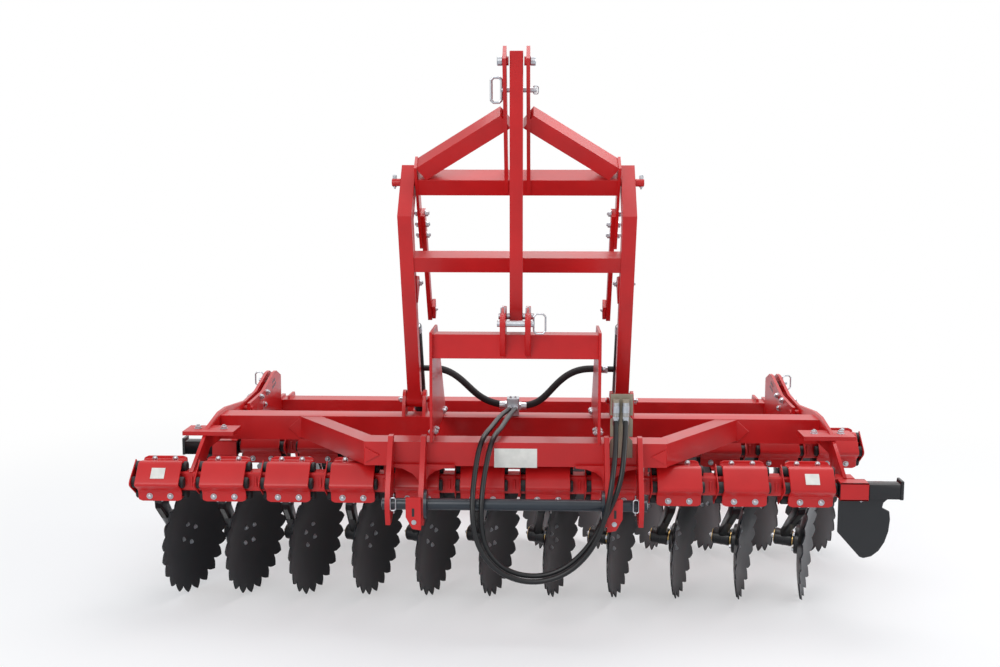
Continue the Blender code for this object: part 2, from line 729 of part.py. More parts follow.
def cylinder_seat(side):
    """Return the shelf and the two lugs that carry one cylinder's foot pin."""
    foot_y, _ = CYLINDER_FOOT
    reach = EYE_WIDTH / 2.0 + PIN_CLEARANCE + LUG_WALL
    edges = sorted((side * (CYLINDER_X - reach), side * HANGER_X))
    shelf = block(
        edges,
        (foot_y - LUG_RADIUS, foot_y + LUG_RADIUS),
        (CYLINDER_SEAT_Z, CYLINDER_SEAT_Z + CYLINDER_SEAT_WALL),
    )
    pieces = []
    for step in (-1.0, 1.0):
        x = side * CYLINDER_X + step * (EYE_WIDTH / 2.0 + PIN_CLEARANCE + LUG_WALL / 2.0)
        span = (foot_y - LUG_RADIUS + FLANGE_LAP, foot_y + LUG_RADIUS - FLANGE_LAP)
        outline = lug_outline(CYLINDER_FOOT, EYE_RADIUS, span, CYLINDER_SEAT_Z + FLANGE_LAP)
        pieces.append(prism(outline, x - LUG_WALL / 2.0, x + LUG_WALL / 2.0))
    half = EYE_WIDTH / 2.0 + LUG_WALL * PIN_HEAD_SHARE
    pieces.append(across(side * CYLINDER_X, CYLINDER_FOOT, half, PIN_RADIUS, 12))
    return combine(shelf, pieces)


def lug_outline(pin, radius, foot_span, bottom):
    """Return a lug's (y, z) outline: a wide foot that runs up to a round head."""
    steps = 6
    head = []
    for k in range(steps + 1):
        turn = math.pi * k / steps
        head.append((pin[0] + radius * math.cos(turn), pin[1] + radius * math.sin(turn)))
    return [(foot_span[0], bottom), (foot_span[1], bottom), *head]


def build_side_plates(finishes, parent):
    """Build the plates that join toolbars, long beam and roller adjusters at each end."""
    bar_half = BAR_SIZE / 2.0 + SEAT_GAP
    bar_top = BAR_HEIGHT + bar_half
    beam_low = BEAM_TOP - BEAM_HEIGHT
    row = ROW_DISTANCE
    rear_edge = [
        (PLATE_REAR, PLATE_REAR_BOTTOM),
        (PLATE_REAR, PLATE_REAR_TOP),
        (PEAK_Y + PEAK_HALF, PEAK_Z),
        (PEAK_Y - PEAK_HALF, PEAK_Z),
        (ROLLER_PIVOT[0], PLATE_DIP_Z + SHELL_WALL),
        (PLATE_DIP_Y, PLATE_DIP_Z),
    ]
    outline = [
        (-bar_half, bar_top),
        (bar_half, bar_top),
        (bar_half, BAR_HEIGHT - bar_half),
        (bar_half + PLATE_TOE, BAR_HEIGHT - bar_half),
        (PLATE_NOSE_Y, beam_low),
        (row - bar_half, beam_low),
        (row - bar_half, bar_top),
        (row + bar_half, bar_top),
        (row + bar_half, BAR_HEIGHT),
        (row + bar_half + PLATE_TOE, BAR_HEIGHT),
        (PLATE_DIP_Y, PLATE_REAR_BOTTOM + PLATE_TOE),
        *rear_edge,
        (LONG_BEAM_FRONT + BEAM_DEPTH, PLATE_CROWN_Z),
        (LONG_BEAM_FRONT, PLATE_CROWN_Z),
        (PLATE_NOSE_Y, PLATE_NOSE_Z),
    ]
    twin = [(TWIN_FRONT, PLATE_REAR_BOTTOM + PLATE_TOE), *rear_edge, (TWIN_FRONT, PLATE_DIP_Z)]
    half = SIDE_PLATE_WALL / 2.0
    for label, side in (("left", -1.0), ("right", 1.0)):
        outer = prism(outline, side * SIDE_PLATE_X - half, side * SIDE_PLATE_X + half)
        twin_x = side * (SIDE_PLATE_X - TWIN_SPACING)
        inner = prism(twin, twin_x - half, twin_x + half)
        middle = side * (SIDE_PLATE_X - TWIN_SPACING / 2.0)
        bolts = []
        for place, radius in (
            (ROLLER_PIVOT, ROLLER_PIVOT_RADIUS),
            ((TWIN_FRONT + PLATE_TOE, PLATE_DIP_Z - PLATE_TOE), PIN_RADIUS),
        ):
            bolts.append(across(middle, place, TWIN_SPACING / 2.0 + SIDE_PLATE_WALL, radius, 12))
        bracket = block(
            sorted((side * (SIDE_PLATE_X - BRACKET_INNER), side * (SIDE_PLATE_X + BRACKET_OUTER))),
            (BRACKET_MIDDLE_Y - BRACKET_DEPTH / 2.0, BRACKET_MIDDLE_Y + BRACKET_DEPTH / 2.0),
            (BRACKET_TOP - BRACKET_WALL, BRACKET_TOP),
        )
        plate = combine(outer, [inner, bracket, *bolts])
        add_node(f"{label}_side_plate", plate, finishes["paint_red"], parent)


def build_roller(finishes, parent):
    """Build the roller's swinging frame, and the cage roller that turns in it."""
    pivot_y, pivot_z = ROLLER_PIVOT
    carrier_low = CARRIER_TOP - CARRIER_HEIGHT
    carrier_rear = CARRIER_FRONT + CARRIER_DEPTH
    arm_x = SIDE_PLATE_X - TWIN_SPACING / 2.0
    arm_half = ROLLER_ARM_WALL / 2.0
    tube = block((-arm_x, arm_x), (CARRIER_FRONT, carrier_rear), (carrier_low, CARRIER_TOP))
    arm = [
        (pivot_y, pivot_z + ROLLER_ARM_RADIUS),
        (pivot_y - ROLLER_ARM_RADIUS, pivot_z),
        (pivot_y, pivot_z - ROLLER_ARM_RADIUS),
        (CARRIER_FRONT, carrier_low + OVERRUN),
        (carrier_rear + OVERRUN, carrier_low + OVERRUN),
        (carrier_rear + OVERRUN, CARRIER_TOP + OVERRUN),
        (CARRIER_FRONT, CARRIER_TOP + OVERRUN),
    ]
    axle = (ROLLER_Y, ROLLER_RADIUS)
    plate = [
        (CARRIER_FRONT + OVERRUN, carrier_low - OVERRUN),
        (CARRIER_FRONT + OVERRUN, CARRIER_TOP + OVERRUN * 2.0),
        (carrier_rear + OVERRUN * 2.0, CARRIER_TOP + OVERRUN * 2.0),
        (ROLLER_Y + BEARING_RADIUS, ROLLER_RADIUS + BEARING_RADIUS),
        (ROLLER_Y + BEARING_RADIUS, ROLLER_RADIUS - BEARING_RADIUS),
        (ROLLER_Y - BEARING_RADIUS, ROLLER_RADIUS - BEARING_RADIUS),
    ]
    pieces = []
    cuts = []
    for side in (-1.0, 1.0):
        pieces.append(prism(arm, side * arm_x - arm_half, side * arm_x + arm_half))
        half = BEARING_PLATE_WALL / 2.0
        x = side * BEARING_PLATE_X
        pieces.append(prism(plate, x - half, x + half))
        hole = ROLLER_PIVOT_RADIUS + PIN_CLEARANCE
        cuts.append(across(side * arm_x, ROLLER_PIVOT, OVERRUN * 2.0, hole, 12))
        cuts.append(across(x, axle, OVERRUN * 2.0, ROLLER_SHAFT_RADIUS + PIN_CLEARANCE, 16))
    frame = combine(combine(tube, pieces), cuts, "DIFFERENCE")
    add_node("roller_frame", frame, finishes["paint_red"], parent, (0.0, *ROLLER_PIVOT))

    circle = ROLLER_RADIUS - ROLLER_TUBE_RADIUS
    shaft_half = BEARING_PLATE_X + BEARING_PLATE_WALL
    shaft = across(0.0, axle, shaft_half, ROLLER_SHAFT_RADIUS, 16)
    pieces = []
    for k in range(ROLLER_DISCS):
        x = ROLLER_HALF * (2.0 * k / (ROLLER_DISCS - 1) - 1.0)
        x -= math.copysign(ROLLER_DISC_WALL, x) if k in (0, ROLLER_DISCS - 1) else 0.0
        pieces.append(across(x, axle, ROLLER_DISC_WALL / 2.0, circle - ROLLER_TUBE_RADIUS / 4.0, 16))
    for k in range(ROLLER_TUBES):
        turn = 2.0 * math.pi * k / ROLLER_TUBES
        place = (ROLLER_Y + circle * math.cos(turn), ROLLER_RADIUS + circle * math.sin(turn))
        pieces.append(across(0.0, place, ROLLER_HALF, ROLLER_TUBE_RADIUS, 6))
    add_node("roller", combine(shaft, pieces), finishes["paint_red"], parent, (0.0, *axle))


def build_headstock(finishes, parent):
    """Build the three-point mast: two big plates, the top tube and the top-link clevis."""
    foot = BEAM_TOP + SEAT_GAP
    tube_low = HEAD_TUBE_TOP - HEAD_TUBE_SIZE
    tube_rear = HEAD_TUBE_FRONT + HEAD_TUBE_SIZE
    outline = [
        (HEAD_FRONT, foot),
        (HEAD_REAR, foot),
        (HEAD_REAR, foot + HEAD_REAR_HEIGHT),
        (HEAD_CROWN, HEAD_TUBE_TOP + HEAD_PLATE_WALL),
        (HEAD_FRONT, HEAD_TUBE_TOP + HEAD_PLATE_WALL),
    ]
    half = HEAD_PLATE_WALL / 2.0
    pieces = []
    for side in (-1.0, 1.0):
        x = side * HEAD_PLATE_X
        pieces.append(prism(outline, x - half, x + half))
    tube = block(
        (-HEAD_PLATE_X, HEAD_PLATE_X),
        (HEAD_TUBE_FRONT, tube_rear),
        (tube_low, HEAD_TUBE_TOP),
    )
    low_y, low_z = LINK_FOOT
    pin_y, pin_z = TRACTOR_PIN
    lug = [
        (low_y + CLEVIS_RADIUS, low_z - CLEVIS_RADIUS),
        (low_y + CLEVIS_RADIUS, low_z + CLEVIS_RADIUS),
        (pin_y, pin_z + CLEVIS_RADIUS),
        (pin_y - CLEVIS_RADIUS, pin_z + CLEVIS_RADIUS / 2.0),
        (pin_y - CLEVIS_RADIUS, pin_z - CLEVIS_RADIUS / 2.0),
        (HEAD_TUBE_FRONT - HEAD_PLATE_WALL, tube_low + HEAD_PLATE_WALL),
        (tube_rear + HEAD_PLATE_WALL, tube_low + HEAD_PLATE_WALL),
    ]
    for side in (-1.0, 1.0):
        x = side * (CLEVIS_GAP / 2.0 + CLEVIS_WALL / 2.0)
        pieces.append(prism(lug, x - CLEVIS_WALL / 2.0, x + CLEVIS_WALL / 2.0))
    pieces.append(across(0.0, LINK_FOOT, CLEVIS_GAP / 2.0 + CLEVIS_WALL * PIN_HEAD_SHARE, PIN_RADIUS, 12))
    pieces.append(across(0.0, TRACTOR_PIN, CLEVIS_GAP / 2.0 + CLEVIS_WALL * PIN_HEAD_SHARE, PIN_RADIUS, 12))
    add_node("headstock", combine(tube, pieces), finishes["paint_red"], parent)


def hollow_corner(corner, near, far, steps=4):
    """Return the points of a quarter ellipse that hollows out a corner, from near's side to far's."""
    points = []
    for k in range(steps + 1):
        turn = math.pi / 2.0 * k / steps
        points.append((
            corner[0] + (near[0] - corner[0]) * math.cos(turn),
            corner[1] + (far[1] - corner[1]) * math.sin(turn),
        ))
    return points


def hitch_gusset(side, top):
    """Return the (x, z) outline of the gusset under the centre tube, hollowed on both sides of a plate."""
    inner, outer, half = HITCH_INNER_X, HITCH_OUTER_X, HITCH_WALL / 2.0
    far = inner - half - GUSSET_INNER_REACH
    left_low, right_low = top - GUSSET_INNER_DROP, top - GUSSET_OUTER_DROP
    points = [(far, top)]
    points += reversed(hollow_corner((far, left_low), (inner - half, left_low), (far, top - GUSSET_LIP)))
    points += hollow_corner((outer, right_low), (inner + half, right_low), (outer, top - GUSSET_LIP))
    points.append((outer, top))
    return [(side * x, z) for x, z in points]


def build_lower_hitch(finishes, parent):
    """Build the lower hitch plates in front of the centre tube, and the black cross bar."""
    top = HITCH_TOP_Z
    low_edge = BEAM_TOP - CENTRE_TUBE_HEIGHT
    front = CENTRE_TUBE_FRONT - HITCH_FORWARD
    back = CENTRE_TUBE_FRONT - SEAT_GAP
    outline = [
        (back, top),
        (back, low_edge),
        (back - GUSSET_WALL, low_edge - GUSSET_LIP),
        (back - GUSSET_WALL, low_edge - GUSSET_OUTER_DROP),
        (HITCH_BAR_Y + HITCH_FLANGE_RADIUS, HITCH_FOOT_Z + HITCH_WALL),
        (HITCH_BAR_Y + HITCH_BAR_RADIUS, HITCH_FOOT_Z),
        (HITCH_BAR_Y - HITCH_BAR_RADIUS, HITCH_FOOT_Z),
        (front, HITCH_BAR_Z),
        (front + HITCH_WALL, HITCH_BAR_Z + HITCH_FLANGE_RADIUS),
        (back - HITCH_WALL * 2.0, top),
    ]
    half = HITCH_WALL / 2.0
    bore = HITCH_BAR_RADIUS + PIN_CLEARANCE
    for label, side in (("left", -1.0), ("right", 1.0)):
        plates = []
        for x in (side * HITCH_INNER_X, side * HITCH_OUTER_X):
            plates.append(prism(outline, x - half, x + half))
        low = min(side * HITCH_INNER_X, side * HITCH_OUTER_X)
        high = max(side * HITCH_INNER_X, side * HITCH_OUTER_X)
        rear = back - GUSSET_WALL - FLANGE_LAP
        web = prism(hitch_gusset(side, low_edge + GUSSET_LIP), rear - GUSSET_WALL, rear, "Y")
        hitch = combine(plates[0], [plates[1], web])
        cut = across((low + high) / 2.0, (HITCH_BAR_Y, HITCH_BAR_Z), HITCH_OUTER_X, bore, 16)
        hitch = combine(hitch, [cut], "DIFFERENCE")
        add_node(f"{label}_lower_hitch", hitch, finishes["paint_red"], parent)
    bar = across(0.0, (HITCH_BAR_Y, HITCH_BAR_Z), HITCH_BAR_HALF, HITCH_BAR_RADIUS, 16)
    flanges = []
    for side in (-1.0, 1.0):
        x = side * (HITCH_INNER_X - half - PIN_CLEARANCE - HITCH_FLANGE_WALL / 2.0)
        place = (HITCH_BAR_Y, HITCH_BAR_Z)
        flanges.append(across(x, place, HITCH_FLANGE_WALL / 2.0, HITCH_FLANGE_RADIUS, 20))
    add_node("hitch_bar", combine(bar, flanges), finishes["cast_black"], parent)


def arm_section(x, place, across_arm):
    """Return the corners of an arm's section at (y, z), across_arm being half its depth."""
    half = LIFT_ARM_WIDTH / 2.0
    low, high = Vector(place) - across_arm, Vector(place) + across_arm
    return [(x - half, *low), (x + half, *low), (x + half, *high), (x - half, *high)]


def build_lift_arms(finishes, parent):
    """Build both lift arms and the tube between them, which swing on the long beam."""
    foot, bend, tip = Vector(ARM_PIVOT), Vector(ARM_BEND), Vector(ARM_TIP)
    lower = (bend - foot).normalized()
    upper = (tip - bend).normalized()
    half = LIFT_ARM_DEPTH / 2.0

    def beside(direction):
        """Return half the arm's depth, square to a direction in the side view."""
        return Vector((direction.y, -direction.x)) * half

    mitre = (beside(lower) + beside(upper)).normalized() * half
    mitre = mitre / mitre.normalized().dot(beside(lower).normalized())
    pieces = []
    pivots = []
    head_y, head_z = CYLINDER_HEAD
    for side in (-1.0, 1.0):
        x = side * LIFT_ARM_X
        pieces.append(loft([
            arm_section(x, foot, beside(lower) * ARM_FOOT_SHARE),
            arm_section(x, bend, mitre),
            arm_section(x, tip, beside(upper)),
        ]))
        pieces.append(across(x, ARM_PIVOT, LIFT_BUSH_HALF, LIFT_BUSH_RADIUS, 16))
        for step in (-1.0, 1.0):
            ear_x = side * CYLINDER_X + step * (EYE_WIDTH / 2.0 + PIN_CLEARANCE + EAR_WALL / 2.0)
            root = foot.lerp(bend, (head_z - foot.y) / (bend.y - foot.y))
            outline = [
                tuple(root - lower * LUG_RADIUS * 2.0),
                (head_y, head_z - EYE_RADIUS),
                (head_y + EYE_RADIUS, head_z),
                (head_y, head_z + EYE_RADIUS),
                tuple(root + lower * LUG_RADIUS),
            ]
            pieces.append(prism(outline, ear_x - EAR_WALL / 2.0, ear_x + EAR_WALL / 2.0))
        bore = LIFT_PIN_RADIUS + PIN_CLEARANCE
        pivots.append(across(x, ARM_PIVOT, LIFT_BUSH_HALF * 2.0, bore, 12))
        pivots.append(across(x, COUPLING_PIVOT, LIFT_ARM_WIDTH, bore, 12))
    share = (LIFT_TUBE_Z - foot.y) / (bend.y - foot.y)
    middle = foot.lerp(bend, share)
    depth = Vector((lower.y, -lower.x)) * (LIFT_TUBE_SIZE / 2.0)
    rise = lower * (LIFT_TUBE_SIZE / 2.0)
    corners = [middle - depth - rise, middle + depth - rise, middle + depth + rise, middle - depth + rise]
    tube = prism([tuple(c) for c in corners], -LIFT_ARM_X, LIFT_ARM_X)
    arms = combine(combine(tube, pieces), pivots, "DIFFERENCE")
    add_node("lift_arms", arms, finishes["paint_red"], parent, (0.0, *ARM_PIVOT))


def build_coupling(finishes, parent):
    """Build the drill coupling: tube, mast, braces, side plates, legs and hooks."""
    pivot, head = Vector(COUPLING_PIVOT), Vector(LINK_HEAD)
    rise = (head - pivot).normalized()
    depth = Vector((rise.y, -rise.x))
    size = COUPLING_TUBE / 2.0

    def at(rearward, up):
        """Return the (y, z) place that lies so far along the frame's own directions."""
        return tuple(pivot + depth * rearward + rise * up)

    def panel(half_depth, low, high, x, wall):
        """Return a plate across the frame, at x, between two heights along it."""
        outline = [at(-half_depth, low), at(half_depth, low), at(half_depth, high), at(-half_depth, high)]
        return prism(outline, x - wall / 2.0, x + wall / 2.0)

    tube = panel(size, -size, size, 0.0, COUPLING_PLATE_X * 2.0)
    mast_top = (head - pivot).length + CLEVIS_RADIUS
    plate_half = size + COUPLING_PLATE_PROUD
    pieces = []
    for side in (-1.0, 1.0):
        plate_x = side * COUPLING_PLATE_X
        leg_x = plate_x - side * (COUPLING_PLATE_WALL / 2.0 + LEG_WALL / 2.0 - LEG_LAP)
        pieces.append(panel(MAST_DEPTH / 2.0, -size / 2.0, mast_top, side * MAST_X, MAST_WALL))
        low, high = -COUPLING_PLATE_DROP, COUPLING_PLATE_HORN
        pieces.append(panel(plate_half, low, high, plate_x, COUPLING_PLATE_WALL))
        pieces.append(panel(LEG_WIDTH / 2.0, -LEG_LENGTH, -LEG_TOP, leg_x, LEG_WALL))
        start = Vector((side * (COUPLING_PLATE_X - COUPLING_BRACE_INSET), *at(0.0, COUPLING_BRACE_FOOT)))
        end = Vector((side * MAST_X, *at(0.0, COUPLING_BRACE_TOP)))
        out = Vector((0.0, *depth)) * (COUPLING_BRACE / 2.0)
        up = out.cross(end - start).normalized() * (COUPLING_BRACE / 2.0)
        pieces.append(loft([
            [start - out - up, start + out - up, start + out + up, start - out + up],
            [end - out - up, end + out - up, end + out + up, end - out + up],
        ]))
        end_x = side * (LIFT_ARM_X + LIFT_ARM_WIDTH / 2.0 + LUG_WALL)
        pieces.append(rod((plate_x, *COUPLING_PIVOT), (end_x, *COUPLING_PIVOT), LIFT_PIN_RADIUS, 12))
    add_node("coupling_frame", combine(tube, pieces), finishes["paint_red"], parent, (0.0, *COUPLING_PIVOT))


def build_top_link(finishes, parent):
    """Build the rigid top link, pinned to the headstock and to the coupling's mast."""
    foot, head = Vector(LINK_FOOT), Vector(LINK_HEAD)
    run = (head - foot).normalized()
    side = Vector((run.y, -run.x)) * (LINK_DEPTH / 2.0)
    low = foot - run * CLEVIS_RADIUS
    high = head + run * CLEVIS_RADIUS
    corners = [low - side, low + side, high + side, high - side]
    bar = prism([tuple(c) for c in corners], -LINK_WIDTH / 2.0, LINK_WIDTH / 2.0)
    cuts = [across(0.0, LINK_FOOT, LINK_WIDTH, PIN_RADIUS + PIN_CLEARANCE, 12)]
    add_node("top_link", combine(bar, cuts, "DIFFERENCE"), finishes["paint_red"], parent, (0.0, *LINK_FOOT))


def build_cylinders(finishes, parent):
    """Build the two lift cylinders, each a barrel on the rail and a rod on the arm."""
    foot, head = Vector(CYLINDER_FOOT), Vector(CYLINDER_HEAD)
    run = (head - foot).normalized()
    for label, side in (("left", -1.0), ("right", 1.0)):
        x = side * CYLINDER_X

        def on_axis(distance):
            """Return the point so far from the barrel's foot pin."""
            return (x, *(foot + run * distance))

        barrel = rod(on_axis(BARREL_START), on_axis(BARREL_LENGTH), BARREL_RADIUS, 16)
        neck = rod(on_axis(0.0), on_axis(BARREL_START + OVERRUN), EYE_WIDTH / 2.0 - FLANGE_LAP, 12)
        eye = across(x, CYLINDER_FOOT, EYE_WIDTH / 2.0, EYE_RADIUS, 16)
        barrel = combine(barrel, [neck, eye])
        bore = rod(
            on_axis(BARREL_START * 2.0), on_axis(BARREL_LENGTH + OVERRUN), ROD_RADIUS + PIN_CLEARANCE, 16
        )
        hole = across(x, CYLINDER_FOOT, EYE_WIDTH, PIN_RADIUS + PIN_CLEARANCE, 12)
        barrel = combine(barrel, [bore, hole], "DIFFERENCE")
        _, port_y, port_z = on_axis(PORT_DISTANCE)
        wall_x = x - side * (BARREL_RADIUS + ROD_RADIUS) / 2.0
        face_x = x - side * (BARREL_RADIUS + PORT_REACH)
        port = rod((wall_x, port_y, port_z), (face_x, port_y, port_z), PORT_RADIUS, 12)
        barrel = combine(barrel, [port])
        add_node(f"{label}_barrel", barrel, finishes["cast_black"], parent, (x, *CYLINDER_FOOT))
        length = (head - foot).length
        neck_end = on_axis(length - EYE_RADIUS * ROD_NECK_SHARE)
        shaft = rod(on_axis(BARREL_LENGTH - ROD_TAIL), neck_end, ROD_RADIUS, 16)
        eye = across(x, CYLINDER_HEAD, EYE_WIDTH / 2.0, EYE_RADIUS, 16)
        shaft = combine(shaft, [eye])
        add_node(f"{label}_rod", shaft, finishes["chrome"], parent, (x, *CYLINDER_HEAD))


def build_deflectors(finishes, parent):
    """Build the side deflector of each row, sliding in a socket on the toolbar."""
    for name, row_y, side in (("front_deflector", 0.0, 1.0), ("rear_deflector", ROW_DISTANCE, -1.0)):
        middle = row_y - BAR_SIZE / 2.0 - SOCKET_SIZE / 2.0
        half = SOCKET_SIZE / 2.0 - SOCKET_WALL - SEAT_GAP
        slide = block(
            sorted((side * SOCKET_START, side * SLIDE_END)),
            (middle - half, middle + half),
            (BAR_HEIGHT - half, BAR_HEIGHT + half),
        )
        top = BAR_HEIGHT - SOCKET_SIZE / 2.0 - SEAT_GAP
        width, drop = DEFLECTOR_OUTER - SOCKET_START, top - DEFLECTOR_FOOT_Z
        shares = list(DEFLECTOR_INNER_SHARES)
        mid_x, mid_z = DEFLECTOR_BELLY_SHARES
        for k in range(DEFLECTOR_STEPS + 1):
            turn = math.pi / 2.0 * k / DEFLECTOR_STEPS
            out, down = math.sin(turn), math.cos(turn)
            shares.append((mid_x + (1.0 - mid_x) * out, mid_z + (1.0 - mid_z) * down))
        shares += DEFLECTOR_NOTCH_SHARES
        outline = [(side * (SOCKET_START + width * out), top - drop * down) for out, down in shares]
        neck = side * (SOCKET_START + width * DEFLECTOR_NOTCH_SHARES[-1][0])
        inner = side * (SOCKET_END + OVERRUN)
        outline += [(neck, BAR_HEIGHT), (inner, BAR_HEIGHT), (inner, top)]
        plate = prism(outline, middle - DEFLECTOR_WALL / 2.0, middle + DEFLECTOR_WALL / 2.0, "Y")
        cap = block(
            sorted((side * (SLIDE_END - DEFLECTOR_WALL), side * (SLIDE_END + DEFLECTOR_WALL / 2.0))),
            (middle - half - DEFLECTOR_WALL, middle + half + FLANGE_LAP),
            (BAR_HEIGHT - half - FLANGE_LAP, BAR_HEIGHT + half + DEFLECTOR_WALL * 2.0),
        )
        add_node(name, combine(slide, [plate, cap]), finishes["cast_black"], parent)


def smooth_route(points, spacing):
    """Return places about `spacing` apart on one smooth curve through the points."""
    places = [Vector(point) for point in points]
    ends = [places[0] * 2.0 - places[1]] + places + [places[-1] * 2.0 - places[-2]]
    route = [places[0]]
    for k in range(1, len(ends) - 2):
        before, start, end, after = ends[k - 1:k + 3]
        steps = max(1, round((end - start).length / spacing))
        for step in range(1, steps + 1):
            t = step / steps
            curve = (end - before) * t + (before * 2.0 - start * 5.0 + end * 4.0 - after) * t * t
            curve += (start * 3.0 - before - end * 3.0 + after) * t ** 3
            route.append(start + curve / 2.0)
    return route


def build_hoses(finishes, parent):
    """Build the hoses as plain tubes along their routes, the block they meet at and their holder."""
    for name, points, radius in HOSES:
        curve = bpy.data.curves.new(name, "CURVE")
        curve.dimensions = "3D"
        curve.bevel_depth = radius
        curve.bevel_resolution = 2
        curve.use_fill_caps = True
        route = smooth_route(points, HOSE_SPACING)
        spline = curve.splines.new("POLY")
        spline.points.add(len(route) - 1)
        for point, place in zip(spline.points, route):
            point.co = (*place, 1.0)
        curve.materials.append(finishes["rubber_black"])
        hose = bpy.data.objects.new(name, curve)
        bpy.context.collection.objects.link(hose)
        hose.parent = parent
    body = block(
        (BLOCK_X - BLOCK_HALF, BLOCK_X + BLOCK_HALF),
        (BLOCK_FRONT, BLOCK_FRONT + BLOCK_DEPTH),
        (BEAM_TOP + SEAT_GAP, BLOCK_TOP),
    )
    add_node("hose_block", body, finishes["zinc"], parent)
    back = CENTRE_TUBE_FRONT - SEAT_GAP
    third = (HOLDER_TOP - HOLDER_BOTTOM) / 3.0
    left, right, notch = HOLDER_LEFT, HOLDER_RIGHT, HOLDER_NOTCH
    rising = []
    for step in (1, 2):
        z = HOLDER_BOTTOM + third * step
        rising += [(right, z - notch), (right - notch, z), (right, z)]
    falling = []
    for step in (2, 1):
        z = HOLDER_BOTTOM + third * step
        falling += [(left, z), (left + notch, z), (left, z - notch)]
    outline = [(left, HOLDER_BOTTOM), (right, HOLDER_BOTTOM), *rising]
    outline += [(right, HOLDER_TOP), (left, HOLDER_TOP), *falling]
    plate = prism(outline, back - HOLDER_WALL, back, "Y")
    couplers = []
    y = back - HOLDER_WALL - COUPLER_RADIUS + FLANGE_LAP * 2.0
    for x in COUPLER_PLACES:
        top = (x, y, COUPLER_FOOT_Z + COUPLER_LENGTH)
        couplers.append(rod((x, y, COUPLER_FOOT_Z), top, COUPLER_RADIUS, 12))
    add_node("hose_holder", combine(plate, couplers), finishes["holder_grey"], parent)


def main():
    """Build the whole machine."""
    clear_scene()
    finishes = {name: make_material(name) for name in FINISHES}
    machine = bpy.data.objects.new("machine", None)
    bpy.context.collection.objects.link(machine)
    machine.location = (0.0, -MIDDLE_Y, 0.0)
    build_frame(finishes, machine)
    build_side_plates(finishes, machine)
    build_headstock(finishes, machine)
    build_lower_hitch(finishes, machine)
    for name, row_y, side in ROWS:
        build_gang(f"{name}_gang", row_y, side, finishes, machine)
        build_discs(name, row_y, side, finishes, machine)
    build_deflectors(finishes, machine)
    build_lift_arms(finishes, machine)
    build_coupling(finishes, machine)
    build_top_link(finishes, machine)
    build_cylinders(finishes, machine)
    build_hoses(finishes, machine)
    build_roller(finishes, machine)


main()
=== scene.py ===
"""Looks of a mounted compact disc harrow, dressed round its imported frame.

Each class dresses one sub-assembly. Places are in metres in the row frame: +X right, +Y to the
rear, +Z up. Many are given from the front toolbar's axis, and TOOLBAR_Y turns them into the frame's.
"""
import json
import logging
import math
from dataclasses import dataclass
from enum import Enum

import bmesh
import bpy
from mathutils import Matrix, Vector


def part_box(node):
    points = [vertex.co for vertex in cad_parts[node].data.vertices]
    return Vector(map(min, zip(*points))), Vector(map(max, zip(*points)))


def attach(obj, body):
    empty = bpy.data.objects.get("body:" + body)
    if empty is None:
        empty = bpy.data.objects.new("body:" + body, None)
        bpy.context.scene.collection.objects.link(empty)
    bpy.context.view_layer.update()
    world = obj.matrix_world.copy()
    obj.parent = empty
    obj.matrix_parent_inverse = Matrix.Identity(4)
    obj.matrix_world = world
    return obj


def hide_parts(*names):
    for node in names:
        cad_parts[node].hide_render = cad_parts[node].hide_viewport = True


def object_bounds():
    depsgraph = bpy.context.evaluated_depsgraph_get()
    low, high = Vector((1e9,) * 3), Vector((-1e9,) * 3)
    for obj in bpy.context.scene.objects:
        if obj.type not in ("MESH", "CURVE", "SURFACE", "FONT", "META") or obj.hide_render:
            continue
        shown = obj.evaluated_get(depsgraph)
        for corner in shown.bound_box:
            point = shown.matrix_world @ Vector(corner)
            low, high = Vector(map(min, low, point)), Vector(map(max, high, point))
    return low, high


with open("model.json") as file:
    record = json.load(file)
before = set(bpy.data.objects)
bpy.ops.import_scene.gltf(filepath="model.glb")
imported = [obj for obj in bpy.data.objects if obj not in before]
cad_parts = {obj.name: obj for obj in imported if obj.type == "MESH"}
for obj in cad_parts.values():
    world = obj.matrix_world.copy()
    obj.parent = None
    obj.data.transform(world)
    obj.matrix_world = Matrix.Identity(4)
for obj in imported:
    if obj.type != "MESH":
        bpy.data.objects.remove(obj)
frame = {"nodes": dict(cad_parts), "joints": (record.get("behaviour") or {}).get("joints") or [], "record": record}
CAD_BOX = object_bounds()
LOG = logging.getLogger("harrow")

# The front toolbar's axis along Y, the rear row's distance behind it, and both axes' height
TOOLBAR_Y = -0.95
ROW_DISTANCE = 0.72
BAR_Z = 0.574
BAR_HALF = 0.04
SIDES = (-1.0, 1.0)
# The usual softening of an edge, and how far, in radians, an edge has to turn to be softened
EDGE = 0.0022
BLOCK_ANGLE = 0.6
RIM_ANGLE = 1.2
COPY_ANGLE = 0.5
SMOOTH_ANGLE = math.radians(32.0)
# A bolt's parts, in shares of its washer's radius
HEAD_HEIGHT, HEAD_RADIUS = 0.75, 0.80
STUD_HEIGHT, STUD_RADIUS = 1.05, 0.42
DOME_RADIUS, DOME_FLATNESS = 0.82, 0.62


@dataclass(frozen=True)
class Coating:
    """What one finish is made of.

    Attributes:
        slot: its plain name, and its slot where the record has it.
        colour: its base colour, linear.
        metallic: 1 for bare metal.
        roughness: its mean roughness.
        coat: the weight of the clear coat.
        blotches: how many broad spots lie on a metre.
        bump: the strength of the fine grain.
        dust: how much painted highlight, a pale pinkish tint, lies on faces that look up.
        grain: the fine grain's scale.
        specular: the strength of its sheen.
    """

    slot: str
    colour: tuple[float, float, float]
    metallic: float
    roughness: float
    coat: float
    blotches: float
    bump: float
    dust: float = 0.2
    grain: float = 420.0
    specular: float = 0.4


